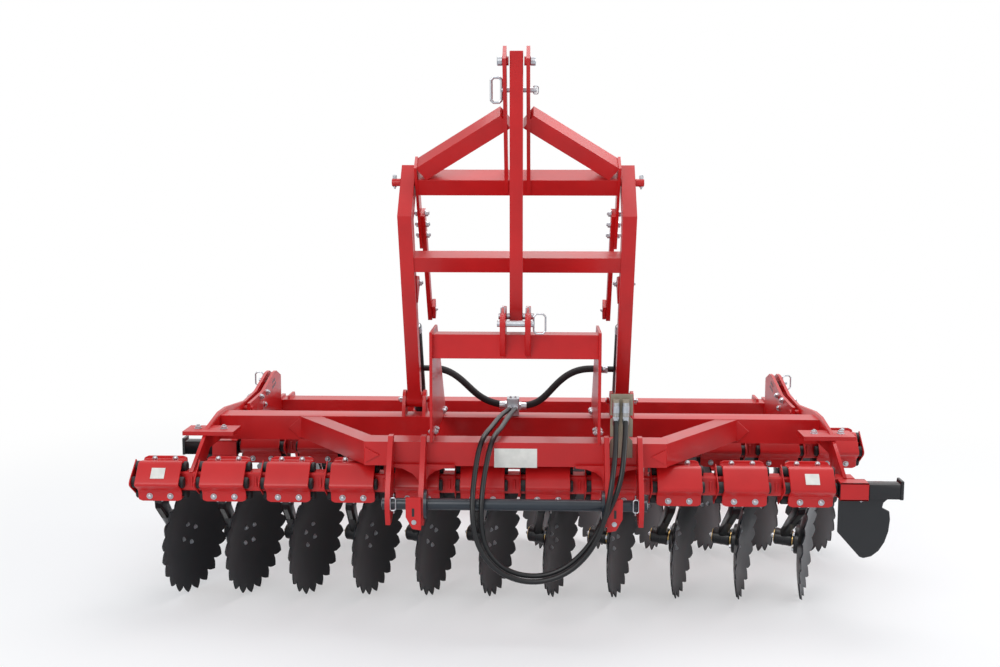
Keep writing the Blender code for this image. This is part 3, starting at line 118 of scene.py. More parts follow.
class Finish(Enum):
    """The finishes of the machine."""

    # Each row's eighth value, where given, is its amount of painted highlight on faces that look up
    RED = Coating("paint_red", (0.560, 0.0070, 0.0080), 0.0, 0.36, 0.12, 6.0, 0.06, 0.03)
    BLACK = Coating("cast_black", (0.0085, 0.0095, 0.0115), 0.0, 0.34, 0.15, 12.0, 0.10, 0.05)
    DISC = Coating("disc_black", (0.0055, 0.0075, 0.0105), 0.1, 0.34, 0.1, 7.0, 0.06, 0.04)
    BAR = Coating("cast_black", (0.012, 0.020, 0.030), 0.1, 0.30, 0.3, 12.0, 0.06, 0.06)
    RUBBER = Coating("rubber_black", (0.012, 0.012, 0.013), 0.0, 0.62, 0.0, 30.0, 0.20, 0.15)
    HOSE = Coating("hose_black", (0.0085, 0.009, 0.010), 0.0, 0.32, 0.0, 60.0, 0.10, 0.03)
    SLEEVE = Coating("sleeve_black", (0.014, 0.014, 0.015), 0.0, 0.78, 0.0, 90.0, 0.70, 0.1, 700.0)
    CHROME = Coating("chrome", (0.80, 0.81, 0.83), 1.0, 0.12, 0.0, 20.0, 0.01, 0.0)
    ZINC = Coating("zinc", (0.50, 0.52, 0.55), 1.0, 0.34, 0.0, 40.0, 0.06, 0.05)
    BRASS = Coating("brass", (0.62, 0.42, 0.16), 1.0, 0.32, 0.0, 40.0, 0.05, 0.05)
    KHAKI = Coating("holder_grey", (0.300, 0.255, 0.185), 0.0, 0.5, 0.0, 25.0, 0.08)
    PALE = Coating("pale_plate", (0.80, 0.79, 0.73), 0.0, 0.40, 0.1, 25.0, 0.02, 0.0)

    @property
    def slot(self) -> str:
        """The finish's plain name."""
        return self.value.slot


def add_node(
    tree: bpy.types.NodeTree, kind: str, settings: dict | None = None, values: dict | None = None,
) -> bpy.types.Node:
    """Add a shader node to a tree.

    Args:
        tree: the tree that gets it.
        kind: its type, without the words ShaderNode.
        settings: its properties, by name.
        values: its unlinked inputs' values, by name.

    Returns:
        The new node.
    """
    made = tree.nodes.new("ShaderNode" + kind)
    for key, value in (settings or {}).items():
        setattr(made, key, value)
    for key, value in (values or {}).items():
        made.inputs[key].default_value = value
    return made


def link_nodes(tree: bpy.types.NodeTree, *pairs: tuple) -> None:
    """Link nodes, each pair given as a node, its output, the next node and its input."""
    for source, output, target, socket in pairs:
        tree.links.new(source.outputs[output], target.inputs[socket])


def add_object(name: str, data: bpy.types.ID) -> bpy.types.Object:
    """Link a new object that shows the data, and return it."""
    made = bpy.data.objects.new(name, data)
    bpy.context.collection.objects.link(made)
    return made


def end_mesh(bm: bmesh.types.BMesh, name: str) -> bpy.types.Mesh:
    """Free the edited mesh, and return it as a mesh of that name."""
    mesh = bpy.data.meshes.new(name)
    bm.to_mesh(mesh)
    bm.free()
    return mesh


class FinishShop:
    """Builds each finish once, all of them through one shared node group."""

    def __init__(self) -> None:
        """Make the shared group."""
        self.group = self._surface_group()
        self.made: dict[Finish, bpy.types.Material] = {}

    def _surface_group(self) -> bpy.types.NodeTree:
        """Build the group that varies a colour and a roughness, paints a pale highlight on faces that look up, and
        gives a fine height.

        Returns:
            The group, with inputs Colour, Roughness, Blotches, Grain and Dust, the amount of painted highlight on
            faces that look up.
        """
        group = bpy.data.node_groups.new("worked_surface", "ShaderNodeTree")
        for name, kind, value in (
            ("Colour", "NodeSocketColor", (0.5, 0.5, 0.5, 1.0)),
            ("Roughness", "NodeSocketFloat", 0.4),
            ("Blotches", "NodeSocketFloat", 10.0),
            ("Dust", "NodeSocketFloat", 0.1),
            ("Grain", "NodeSocketFloat", 420.0),
        ):
            group.interface.new_socket(name, in_out="INPUT", socket_type=kind).default_value = value
        for name, kind in (
            ("Colour", "NodeSocketColor"),
            ("Roughness", "NodeSocketFloat"),
            ("Height", "NodeSocketFloat"),
        ):
            group.interface.new_socket(name, in_out="OUTPUT", socket_type=kind)
        given = group.nodes.new("NodeGroupInput")
        out = group.nodes.new("NodeGroupOutput")
        place = add_node(group, "TexCoord")
        broad = add_node(group, "TexNoise", values={"Detail": 4.0})
        fine = add_node(group, "TexNoise", values={"Detail": 2.0})
        tone = add_node(
            group, "MapRange", values={"From Min": 0.3, "From Max": 0.7, "To Min": 0.90, "To Max": 1.08}
        )
        tint = add_node(group, "Mix", {"data_type": "RGBA", "blend_type": "MULTIPLY"}, {"Factor": 1.0})
        # Painted highlight: a pale pinkish tint on faces that look up, in broad patches, standing in for the light
        # on top faces
        shape = add_node(group, "NewGeometry")
        split = add_node(group, "SeparateXYZ")
        upward = add_node(group, "MapRange", values={"From Min": 0.35, "From Max": 1.0})
        amount = add_node(group, "Math", {"operation": "MULTIPLY"})
        patch = add_node(group, "Math", {"operation": "MULTIPLY"})
        # The pale pinkish colour of the painted highlight
        highlighted = add_node(group, "Mix", {"data_type": "RGBA"}, {"B": (0.62, 0.56, 0.58, 1.0)})
        rough = add_node(group, "MapRange", values={"To Min": -0.06, "To Max": 0.06})
        total = add_node(group, "Math")
        link_nodes(
            group,
            (place, "Object", broad, "Vector"), (place, "Object", fine, "Vector"),
            (given, "Blotches", broad, "Scale"), (given, "Grain", fine, "Scale"),
            (broad, "Fac", tone, "Value"), (given, "Colour", tint, "A"), (tone, "Result", tint, "B"),
            (shape, "Normal", split, "Vector"), (split, "Z", upward, "Value"),
            (upward, "Result", amount, 0), (given, "Dust", amount, 1),
            (amount, "Value", patch, 0), (broad, "Fac", patch, 1),
            (patch, "Value", highlighted, "Factor"), (tint, "Result", highlighted, "A"),
            (broad, "Fac", rough, "Value"), (rough, "Result", total, 0), (given, "Roughness", total, 1),
            (highlighted, "Result", out, "Colour"), (total, "Value", out, "Roughness"), (fine, "Fac", out, "Height"),
        )
        return group

    def material(self, finish: Finish) -> bpy.types.Material:
        """Return a finish's material, built the first time it is asked for."""
        if finish not in self.made:
            self.made[finish] = self._build(finish)
        return self.made[finish]

    def _build(self, finish: Finish) -> bpy.types.Material:
        """Build one finish round the shared group."""
        made = finish.value
        material = bpy.data.materials.new(finish.name.lower() + "_finish")
        material.use_nodes = True
        tree = material.node_tree
        shader = tree.nodes["Principled BSDF"]
        shader.inputs["Metallic"].default_value = made.metallic
        shader.inputs["Coat Weight"].default_value = made.coat
        shader.inputs["Coat Roughness"].default_value = 0.08
        shader.inputs["Specular IOR Level"].default_value = made.specular
        surface = add_node(tree, "Group", {"node_tree": self.group}, {
            "Colour": (*made.colour, 1.0), "Roughness": made.roughness, "Blotches": made.blotches,
            "Dust": made.dust, "Grain": made.grain,
        })
        relief = add_node(tree, "Bump", values={"Strength": made.bump, "Distance": 0.0006})
        link_nodes(
            tree,
            (surface, "Colour", shader, "Base Color"), (surface, "Roughness", shader, "Roughness"),
            (surface, "Height", relief, "Height"), (relief, "Normal", shader, "Normal"),
        )
        return material


SHOP = FinishShop()


class Solid:
    """A mesh being shaped in the row frame, which ends as one finished piece."""

    def __init__(self) -> None:
        """Start empty."""
        self.bm = bmesh.new()

    def _place(self, verts: list, matrix: Matrix) -> None:
        """Move new vertices to their place."""
        bmesh.ops.transform(self.bm, matrix=matrix, verts=verts)

    def _soften(
        self, parts: list, width: float, segments: int = 1, angle: float = BLOCK_ANGLE, clamp: bool = False,
    ) -> None:
        """Bevel the sharp edges of some vertices or faces.

        Args:
            parts: the vertices or faces that were just added.
            width: how far the edges are cut back; nothing is done at 0.
            segments: how many faces each bevel gets.
            angle: the least turn of an edge that is bevelled, in radians.
            clamp: bevels stay clear of each other.
        """
        if not width:
            return
        near = {e for p in parts for e in (p.link_edges if isinstance(p, bmesh.types.BMVert) else p.edges)}
        edges = [e for e in near if len(e.link_faces) == 2 and e.calc_face_angle(0.0) > angle]
        bmesh.ops.bevel(
            self.bm, geom=edges, offset=width, segments=segments, profile=0.5, affect="EDGES",
            material=-1, clamp_overlap=clamp,
        )

    def box(self, low: tuple, high: tuple, edge: float = EDGE) -> None:
        """Add a block between two corners, with softened edges."""
        low, high = Vector(low), Vector(high)
        made = bmesh.ops.create_cube(self.bm, size=1.0)
        size = high - low
        self._place(made["verts"], Matrix.Translation((low + high) / 2.0) @ Matrix.Diagonal((*size, 1.0)))
        self._soften(made["verts"], edge)

    def bar(self, start: tuple, end: tuple, radius: float, sides: int = 16, edge: float = 0.0) -> None:
        """Add a round bar from start to end."""
        start, end = Vector(start), Vector(end)
        turn = (end - start).to_track_quat("Z", "Y").to_matrix().to_4x4()
        made = bmesh.ops.create_cone(
            self.bm, cap_ends=True, segments=sides, radius1=radius, radius2=radius,
            depth=(end - start).length, matrix=Matrix.Translation((start + end) / 2.0) @ turn,
        )
        self._soften(made["verts"], edge, angle=RIM_ANGLE)

    def plate(self, outline: list, low: float, high: float, axis: str = "X", edge: float = EDGE) -> None:
        """Add a plate from its outline: (y, z) for X, (x, z) for Y, (x, y) for Z."""
        turn = {"X": (2, 0, 1), "Y": (0, 2, 1), "Z": (0, 1, 2)}[axis]
        points = [Vector([(a, b, low)[i] for i in turn]) for a, b in outline]
        face = self.bm.faces.new([self.bm.verts.new(p) for p in points])
        grown = bmesh.ops.extrude_face_region(self.bm, geom=[face])
        new = [v for v in grown["geom"] if isinstance(v, bmesh.types.BMVert)]
        step = Vector([(0.0, 0.0, high - low)[i] for i in turn])
        bmesh.ops.translate(self.bm, vec=step, verts=new)
        faces = list({face, *(f for v in new for f in v.link_faces)})
        bmesh.ops.recalc_face_normals(self.bm, faces=faces)
        self._soften(faces, edge)

    def loft(self, stations: list, edge: float = EDGE, segments: int = 2) -> None:
        """Add a solid that runs through rings of corners, by extruding one face from ring to ring."""
        face = self.bm.faces.new([self.bm.verts.new(p) for p in stations[0]])
        made = {face}
        for ring in stations[1:]:
            grown = bmesh.ops.extrude_face_region(self.bm, geom=[face])["geom"]
            face = next(g for g in grown if isinstance(g, bmesh.types.BMFace))
            for vert, place in zip(face.verts, ring):
                vert.co = place
            made |= {f for v in face.verts for f in v.link_faces}
        made = [f for f in made | {face} if f.is_valid]
        bmesh.ops.recalc_face_normals(self.bm, faces=made)
        self._soften(made, edge, segments)

    def slab(self, centre: tuple, normal: tuple, size: tuple, edge: float = 0.001) -> None:
        """Add a thin block on a sloping face.

        Args:
            centre: the middle of its lower face.
            normal: the way it stands out; its width lies along X.
            size: its width, its length up the slope and its thickness.
            edge: how far its edges are softened.
        """
        out = Vector(normal).normalized()
        up = out.cross(Vector((1.0, 0.0, 0.0))).normalized()
        turn = Matrix((Vector((1.0, 0.0, 0.0)), up, out)).transposed().to_4x4()
        made = bmesh.ops.create_cube(self.bm, size=1.0)
        middle = Vector(centre) + out * size[2] / 2.0
        self._place(made["verts"], Matrix.Translation(middle) @ turn @ Matrix.Diagonal((*size, 1.0)))
        self._soften(made["verts"], edge)

    def wire(self, points: list, radius: float, sides: int = 8) -> None:
        """Add a bent round wire as short bars with a ball at each bend."""
        for start, end in zip(points, points[1:]):
            self.bar(start, end, radius, sides)
        for place in points:
            bmesh.ops.create_icosphere(
                self.bm, subdivisions=1, radius=radius * 1.02, matrix=Matrix.Translation(place)
            )

    def trim_corner(self, place: tuple, normal: tuple, faces: set) -> None:
        """Cut off what lies beyond a plane from the given faces, and close the cut."""
        geom = [g for f in faces if f.is_valid for g in (f, *f.edges, *f.verts)]
        cut = bmesh.ops.bisect_plane(
            self.bm, geom=list(set(geom)), plane_co=place, plane_no=normal, clear_outer=True, dist=1e-6,
        )["geom_cut"]
        bmesh.ops.holes_fill(self.bm, edges=[g for g in cut if isinstance(g, bmesh.types.BMEdge)], sides=0)

    def bolt(self, place: tuple, axis: tuple, radius: float = 0.013, domed: bool = False) -> None:
        """Add a bolt's head with its washer, standing on a face.

        Args:
            place: where its axis meets the face.
            axis: the way it stands out.
            radius: half the width of its washer.
            domed: a round head instead of a hexagon.
        """
        place, axis = Vector(place), Vector(axis).normalized()
        self.bar(place - axis * 0.001, place + axis * 0.0025, radius, 16)
        if domed:
            turn = axis.to_track_quat("Z", "Y").to_matrix().to_4x4()
            made = bmesh.ops.create_uvsphere(
                self.bm, u_segments=12, v_segments=8, radius=radius * DOME_RADIUS,
                matrix=Matrix.Translation(place + axis * 0.002) @ turn
                @ Matrix.Diagonal((1, 1, DOME_FLATNESS, 1)),
            )
            low = [v for v in made["verts"] if (v.co - place).dot(axis) < 0.0]
            bmesh.ops.delete(self.bm, geom=low, context="VERTS")
            rims = [e for e in self.bm.edges if e.is_boundary]
            bmesh.ops.holes_fill(self.bm, edges=rims, sides=0)
        else:
            self.bar(place, place + axis * radius * HEAD_HEIGHT, radius * HEAD_RADIUS, 6, edge=radius * 0.08)
            self.bar(place, place + axis * radius * STUD_HEIGHT, radius * STUD_RADIUS, 10)

    def copy_node(self, name: str, width: float = EDGE) -> None:
        """Add a merged copy of a CAD node, its sharp edges softened."""
        source = frame["nodes"][name]
        made = bmesh.new()
        made.from_mesh(source.data)
        bmesh.ops.remove_doubles(made, verts=made.verts, dist=0.00002)
        bmesh.ops.dissolve_limit(made, angle_limit=0.01, verts=made.verts, edges=made.edges)
        mesh = end_mesh(made, "copy")
        self.bm.from_mesh(mesh)
        bpy.data.meshes.remove(mesh)
        self._soften(self.bm.faces[:], width, angle=COPY_ANGLE, clamp=True)

    def piece(self, name: str, finish: Finish, body: str = "frame", *nodes: str) -> bpy.types.Object:
        """End the shape as a finished piece.

        Args:
            name: the piece's name.
            finish: what it is coated with.
            body: the CAD body that it rides on.
            nodes: the CAD nodes that it stands for.

        Returns:
            The new object.
        """
        mesh = end_mesh(self.bm, name)
        mesh.materials.append(SHOP.material(finish))
        mesh.shade_smooth()
        mesh.set_sharp_from_angle(angle=SMOOTH_ANGLE)
        made = add_object(name, mesh)
        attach(made, body)
        finish.slot if finish.slot in RECORD_SLOTS else "cast_black"
        if nodes:
            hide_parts(*nodes)
        LOG.info("%s: %d faces on %s", name, len(mesh.polygons), body)
        return made


RECORD_SLOTS = {material["slot"] for material in frame["record"]["materials"]}


def keep_node(name: str, piece: str, finish: Finish, body: str = "frame", width: float = EDGE) -> None:
    """Show a CAD node's own shape with softened edges.

    Args:
        name: the node.
        piece: the new piece's name.
        finish: what it is coated with.
        body: the CAD body that it rides on.
        width: how far its edges are softened.
    """
    solid = Solid()
    solid.copy_node(name, width)
    solid.piece(piece, finish, body, name)


def from_bar(y: float, z: float, x: float = 0.0) -> tuple[float, float, float]:
    """Return the row-frame point at y behind the front toolbar's axis and height z."""
    return (x, y + TOOLBAR_Y, z)


@dataclass
class Studio:
    """Camera, floor, lamps and world."""

    camera_place: tuple[float, float, float] = (0.103, -6.114, 1.86)
    camera_turn_deg: tuple[float, float, float] = (82.80, -0.09, 1.89)
    lens_mm: float = 45.0
    # The floor fades to white between these distances, and is this far faded under the machine
    fade_start: float = 1.2
    fade_end: float = 4.6
    fade_least: float = 0.40
    floor_colour: tuple = (0.93, 0.93, 0.93, 1.0)
    sky_colour: tuple = (0.80, 0.86, 0.95, 1.0)
    sky_strength: float = 0.55
    lamp_aim: tuple = (0.0, 0.0, 0.8)
    # Each lamp's name, place, size and power: one over the machine, one in front and one at the side
    lamps: tuple = (
        ("top_lamp", (1.0, 1.5, 6.0), 5.0, 210.0),
        ("front_lamp", (-2.5, -6.5, 4.5), 4.0, 170.0),
        ("side_lamp", (6.0, -1.0, 3.0), 3.0, 80.0),
    )

    def build(self) -> None:
        """Build all of it."""
        scene = bpy.context.scene
        scene.view_settings.view_transform = "Standard"
        self._camera(scene)
        self._floor()
        self._lamps()
        self._world(scene)

    def _camera(self, scene: bpy.types.Scene) -> None:
        """Place the camera at the photograph's viewing angle."""
        data = bpy.data.cameras.new("camera")
        data.lens = self.lens_mm
        data.sensor_width = 36.0
        camera = add_object("camera", data)
        camera.location = self.camera_place
        camera.rotation_euler = [math.radians(a) for a in self.camera_turn_deg]
        scene.camera = camera

    def _floor(self) -> None:
        """Lay the pale floor."""
        bm = bmesh.new()
        bmesh.ops.create_grid(bm, x_segments=1, y_segments=1, size=40.0)
        mesh = end_mesh(bm, "floor")
        floor = add_object("floor", mesh)
        material = bpy.data.materials.new("floor_pale")
        material.use_nodes = True
        tree = material.node_tree
        shader = tree.nodes["Principled BSDF"]
        shader.inputs["Base Color"].default_value = self.floor_colour
        shader.inputs["Roughness"].default_value = 0.9
        shader.inputs["Specular IOR Level"].default_value = 0.1
        white = add_node(tree, "Emission")
        place = add_node(tree, "TexCoord")
        far = add_node(tree, "VectorMath", {"operation": "LENGTH"})
        fade = add_node(tree, "MapRange", {"interpolation_type": "SMOOTHSTEP"}, {
            "From Min": self.fade_start, "From Max": self.fade_end, "To Min": self.fade_least,
        })
        path = add_node(tree, "LightPath")
        seen = add_node(tree, "Math", {"operation": "MULTIPLY"})
        mix = add_node(tree, "MixShader")
        link_nodes(
            tree,
            (place, "Object", far, 0), (far, "Value", fade, "Value"),
            (fade, "Result", seen, 0), (path, "Is Camera Ray", seen, 1), (seen, "Value", mix, "Fac"),
            (shader, "BSDF", mix, 1), (white, "Emission", mix, 2),
            (mix, "Shader", tree.nodes["Material Output"], "Surface"),
        )
        mesh.materials.append(material)

    def _lamps(self) -> None:
        """Hang the soft lamps, all of them turned to the machine's middle."""
        for name, place, size, power in self.lamps:
            data = bpy.data.lights.new(name, "AREA")
            data.size = size
            data.energy = power
            lamp = add_object(name, data)
            lamp.location = place
            lamp.rotation_euler = (Vector(self.lamp_aim) - Vector(place)).to_track_quat("-Z", "Y").to_euler()

    def _world(self, scene: bpy.types.Scene) -> None:
        """Light the object evenly, and show white behind it."""
        world = bpy.data.worlds.new("studio")
        world.use_nodes = True
        tree = world.node_tree
        back = tree.nodes["Background"]
        back.inputs["Color"].default_value = self.sky_colour
        back.inputs["Strength"].default_value = self.sky_strength
        white = add_node(tree, "Background", values={"Color": (1.0, 1.0, 1.0, 1.0)})
        path = add_node(tree, "LightPath")
        seen = add_node(tree, "Math", {"operation": "MAXIMUM"})
        mix = add_node(tree, "MixShader")
        link_nodes(
            tree,
            (path, "Is Camera Ray", seen, 0), (path, "Is Glossy Ray", seen, 1), (seen, "Value", mix, "Fac"),
            (back, "Background", mix, 1), (white, "Background", mix, 2),
            (mix, "Shader", tree.nodes["World Output"], "Surface"),
        )
        scene.world = world


@dataclass
class MainFrame:
    """The frame's welded pieces, whose solids are kept and only get softened edges."""

    red: tuple[str, ...] = (
        "long_beam", "draft_frame", "headstock", "left_lower_hitch", "right_lower_hitch",
        "left_side_plate", "right_side_plate",
    )
    black: tuple[str, ...] = ("front_deflector", "rear_deflector")

    def build(self) -> None:
        """Soften each of them."""
        for name in self.red:
            keep_node(name, name + "_weldment", Finish.RED)
        keep_node("hitch_bar", "hitch_cross_bar", Finish.BAR, width=0.0)
        for name in self.black:
            keep_node(name, name + "_plate", Finish.BLACK)


@dataclass
class LiftFrame:
    """Lift arms, coupling, top link, cylinders, and the roller with its carrier."""

    red: tuple[str, ...] = ("lift_arms", "coupling_frame", "top_link", "roller_frame")
    cylinder_edge: float = 0.001

    def build(self) -> None:
        """Soften the solids and colour the cylinders."""
        for name in self.red:
            keep_node(name, name + "_weldment", Finish.RED, name)
        for side in ("left", "right"):
            for part, finish in (("barrel", Finish.BLACK), ("rod", Finish.CHROME)):
                node = f"{side}_{part}"
                keep_node(node, f"{side}_cylinder_{part}", finish, node, self.cylinder_edge)
        keep_node("roller", "cage_roller", Finish.RED, "roller", 0.0)


@dataclass
class DiscSet:
    """The notched, domed discs, each on its own turning body."""

    radius: float = 0.26
    dish: float = 0.042
    wall: float = 0.006
    teeth: int = 22
    notch: float = 0.033
    point: float = 0.62
    flange_radius: float = 0.065
    flange_length: float = 0.014
    neck_radius: float = 0.028
    neck_length: float = 0.012
    bolts: int = 4
    bolt_circle: float = 0.049
    bolt_washer: float = 0.0115
    # The notches begin at this share of the radius, and each disc is turned on by this angle
    rim_share: float = 0.84
    spin_step: float = 0.37
    steps_per_tooth: int = 8
    rings: int = 5

    def _height(self, radius: float) -> float:
        """Return the dome's height at a radius."""
        sphere = (self.radius ** 2 + self.dish ** 2) / (2.0 * self.dish)
        return sphere - math.sqrt(sphere ** 2 - radius ** 2)

    def _cut(self, angle: float) -> float:
        """Return how deep the rim is cut at an angle: pointed, bulging teeth between narrow notches."""
        turn = angle * self.teeth / (2.0 * math.pi)
        off = abs((turn - math.floor(turn)) * 2.0 - 1.0)
        bulge = 1.0 - math.sqrt(max(0.0, 1.0 - off ** 2))
        return self.notch * (self.point * off + (1.0 - self.point) * bulge)

    def _disc(self) -> bpy.types.Mesh:
        """Return one disc's mesh, its hub along +Z and its hollow side up."""
        bm = bmesh.new()
        count = self.teeth * self.steps_per_tooth
        bmesh.ops.create_circle(bm, cap_ends=True, cap_tris=True, segments=count, radius=self.radius)
        spokes = [e for e in bm.edges if min(v.co.length for v in e.verts) < 1e-6]
        bmesh.ops.subdivide_edges(bm, edges=spokes, cuts=self.rings)
        for v in bm.verts:
            outer = max(0.0, (v.co.length / self.radius - self.rim_share) / (1.0 - self.rim_share))
            reach = v.co.length - self._cut(math.atan2(v.co.y, v.co.x)) * outer
            if v.co.length > 1e-6:
                v.co *= reach / v.co.length
            v.co.z = self._height(min(reach, self.radius))
        bmesh.ops.solidify(bm, geom=bm.faces[:], thickness=-self.wall)
        bmesh.ops.recalc_face_normals(bm, faces=bm.faces[:])
        return end_mesh(bm, "disc")

    def build(self) -> None:
        """Place a disc, its flange and its bolts on each turning body."""
        disc = self._disc()
        seat = self._height(self.flange_radius) + self.wall / 2.0
        for joint in frame["joints"]:
            name = joint["child"]
            if "_disc_" not in name:
                continue
            turn = Vector(joint["axis"]).to_track_quat("Z", "Y").to_matrix().to_4x4()
            spin = Matrix.Rotation(self.spin_step * int(name[-2:]), 4, "Z")
            place = Matrix.Translation(joint["pos_m"]) @ turn @ spin
            solid = Solid()
            solid.bm.from_mesh(disc)
            solid._place(solid.bm.verts[:], place)
            solid.piece(name + "_blade", Finish.DISC, name, name)
            hub = Solid()
            back = -self.flange_length
            hub.bar((0, 0, back), (0, 0, seat), self.flange_radius, 40, edge=0.002)
            hub.bar((0, 0, back - self.neck_length), (0, 0, back + 0.002), self.neck_radius, 24)
            hub._place(hub.bm.verts[:], place)
            hub.piece(name + "_hub_flange", Finish.BLACK, name)
            heads = Solid()
            for k in range(self.bolts):
                angle = 2.0 * math.pi * k / self.bolts
                x, y = self.bolt_circle * math.cos(angle), self.bolt_circle * math.sin(angle)
                heads.bolt((x, y, seat), (0, 0, 1), self.bolt_washer)
                heads.bar((x, y, back - 0.009), (x, y, back + 0.001), 0.009, 6)
            heads._place(heads.bm.verts[:], place)
            heads.piece(name + "_hub_bolts", Finish.ZINC, name)


def rounded(points: tuple, bend: float, steps: int = 3) -> list[tuple[float, float]]:
    """Return an open line whose inner corners are bends."""
    line = [points[0]]
    for before, here, after in zip(points, points[1:], points[2:]):
        before, here, after = Vector(before), Vector(here), Vector(after)
        reach = min(bend, 0.45 * (before - here).length, 0.45 * (after - here).length)
        start = here + (before - here).normalized() * reach
        end = here + (after - here).normalized() * reach
        for k in range(steps + 1):
            t = k / steps
            line.append(tuple(start * (1 - t) ** 2 + here * 2 * t * (1 - t) + end * t ** 2))
    return [*line, points[-1]]


def strip(line: list, wall: float) -> list[tuple[float, float]]:
    """Return the closed outline of a sheet, its wall on the right of the line."""
    inner = []
    for k, place in enumerate(line):
        into = (Vector(place) - Vector(line[k - 1])).normalized() if k else None
        out = (Vector(line[k + 1]) - Vector(place)).normalized() if k < len(line) - 1 else into
        into = into or out
        mitre = (Vector((-into.y, into.x)) + Vector((-out.y, out.x))).normalized()
        inner.append(tuple(Vector(place) - mitre * wall / max(mitre.dot(Vector((-into.y, into.x))), 0.35)))
    return [*line, *reversed(inner)]


@dataclass
class Gang:
    """One row: toolbar, clamps with their rubber cords, arms and bearings."""

    name: str
    row_y: float
    side: float
    # How far the clamps lie before their disc, the covers' half width and their sheet's thickness
    lead: float = 0.022
    shell_half: float = 0.0925
    wall: float = 0.008
    cord_radius: float = 0.024
    cord_reach: float = 0.059
    cord_ends: tuple = (0.1155, 0.1055)
    keeper_width: float = 0.030
    # How far the toolbar runs on past its last clamps, and to which X at its socket
    overhang: float = 0.108
    bar_end: float = 1.4165
    socket_x: tuple = (1.337, 1.452)
    socket_half: float = 0.0375
    socket_wall: float = 0.006
    stop_gap: float = 0.040
    # Outlines as (y, z) from the toolbar's axis: front cover, rear cover and keeper
    front_line: tuple = (
        (-0.056, -0.082), (-0.056, -0.038), (-0.114, -0.003), (-0.038, 0.086), (0.035, 0.074), (0.035, 0.092),
    )
    rear_line: tuple = (
        (0.050, 0.091), (0.050, 0.038), (0.114, 0.003), (0.038, -0.086), (-0.041, -0.074), (-0.041, -0.083),
    )
    keeper_line: tuple = ((0.035, -0.094), (-0.114, 0.0), (0.0, 0.086))
    cover_bend: float = 0.016
    keeper_bend: float = 0.030
    # The flanges' edges in z, and the planes that round their corners: run, rise and slope
    flanges: tuple = (-0.083, 0.092)
    corner_cuts: tuple = ((0.020, 0.0, 1.0, 2.2), (0.0, 0.014, 2.2, 1.0))
    # The covers' bolts, each pair as (y, z) and the washer's radius
    cover_bolts: tuple = ((-0.056, -0.0605, 0.013), (0.035, 0.0825, 0.012))
    bolt_step: float = 0.044
    # The arm's rings: under the bar (y, z), shift along X and half depth, at the hub (y, z) and half depth
    arm_top: float = 0.020
    arm_half: float = 0.018
    arm_rings: tuple = ((0.035, -0.078, 0.0, 0.060), (0.052, -0.130, 0.006, 0.052))
    hub_rings: tuple = ((-0.0375, 0.036, 0.0375), (0.0, 0.0, 0.018))
    hub_radius: float = 0.036
    hub_start: float = 0.0266
    hub_length: float = 0.078
    rib_shares: tuple = (0.12, 0.5, 0.88)
    arm_bolt: tuple = (-0.02, -0.082, 0.018)
    # The blank reflector: its (y, z), the way it looks and its size
    tile: tuple = ((-0.0762, 0.0415), (0, -0.76, 0.65), (0.058, 0.050, 0.004))

    def _joints(self) -> list[dict]:
        """Return the joints of this row's discs."""
        first = self.name.split("_")[0]
        return [j for j in frame["joints"] if j["child"].startswith(first + "_disc_")]

    def centres(self) -> list[float]:
        """Return the X places of the row's clamps."""
        return [j["pos_m"][0] - self.side * self.lead for j in self._joints()]

    def _at(self, line: list) -> list[tuple[float, float]]:
        """Return an outline moved to the row: (y, z) in the frame."""
        return [(y + self.row_y + TOOLBAR_Y, z + BAR_Z) for y, z in line]

    def _toolbar(self) -> None:
        """Build the square toolbar with its end socket and the stops between the clamps."""
        centres = self.centres()
        row = self.row_y + TOOLBAR_Y
        bar = Solid()
        start, end = min(centres) - self.overhang, max(centres) + self.overhang
        if self.side > 0:
            end = max(end, self.bar_end)
        else:
            start = min(start, -self.bar_end)
        bar.box((start, row - BAR_HALF, BAR_Z - BAR_HALF), (end, row + BAR_HALF, BAR_Z + BAR_HALF), 0.006)
        for x in centres:
            stop = x + self.side * (self.shell_half + self.stop_gap)
            if start < stop - 0.01 and stop + 0.01 < end:
                bar.box(
                    (stop - 0.006, row - 0.046, BAR_Z - 0.022),
                    (stop + 0.006, row - 0.038, BAR_Z + 0.022), 0.002,
                )
        half, hollow = self.socket_half, self.socket_half - self.socket_wall
        mid_y = row - BAR_HALF - half
        left, right = sorted(self.side * x for x in self.socket_x)
        for inner, outer in ((-half, -hollow), (hollow, half)):
            bar.box((left, mid_y - half, BAR_Z + inner), (right, mid_y + half + 0.001, BAR_Z + outer), 0.001)
            bar.box((left, mid_y + inner, BAR_Z - half), (right, mid_y + outer, BAR_Z + half), 0.001)
        bar.piece(self.name + "_toolbar", Finish.RED, "frame", self.name)

    def _cover(self, covers: Solid, outline: list, x: float) -> None:
        """Add one bent cover round a clamp's centre, the corners of its flanges cut off."""
        before = set(covers.bm.faces)
        covers.plate(outline, x - self.shell_half, x + self.shell_half, edge=0.0016)
        for side in SIDES:
            for flange in self.flanges:
                up = math.copysign(1.0, flange)
                for run, rise, slope_x, slope_z in self.corner_cuts:
                    place = (x + side * (self.shell_half - run), 0.0, BAR_Z + flange - up * rise)
                    made = set(covers.bm.faces) - before
                    covers.trim_corner(place, (side * slope_x, 0.0, up * slope_z), made)

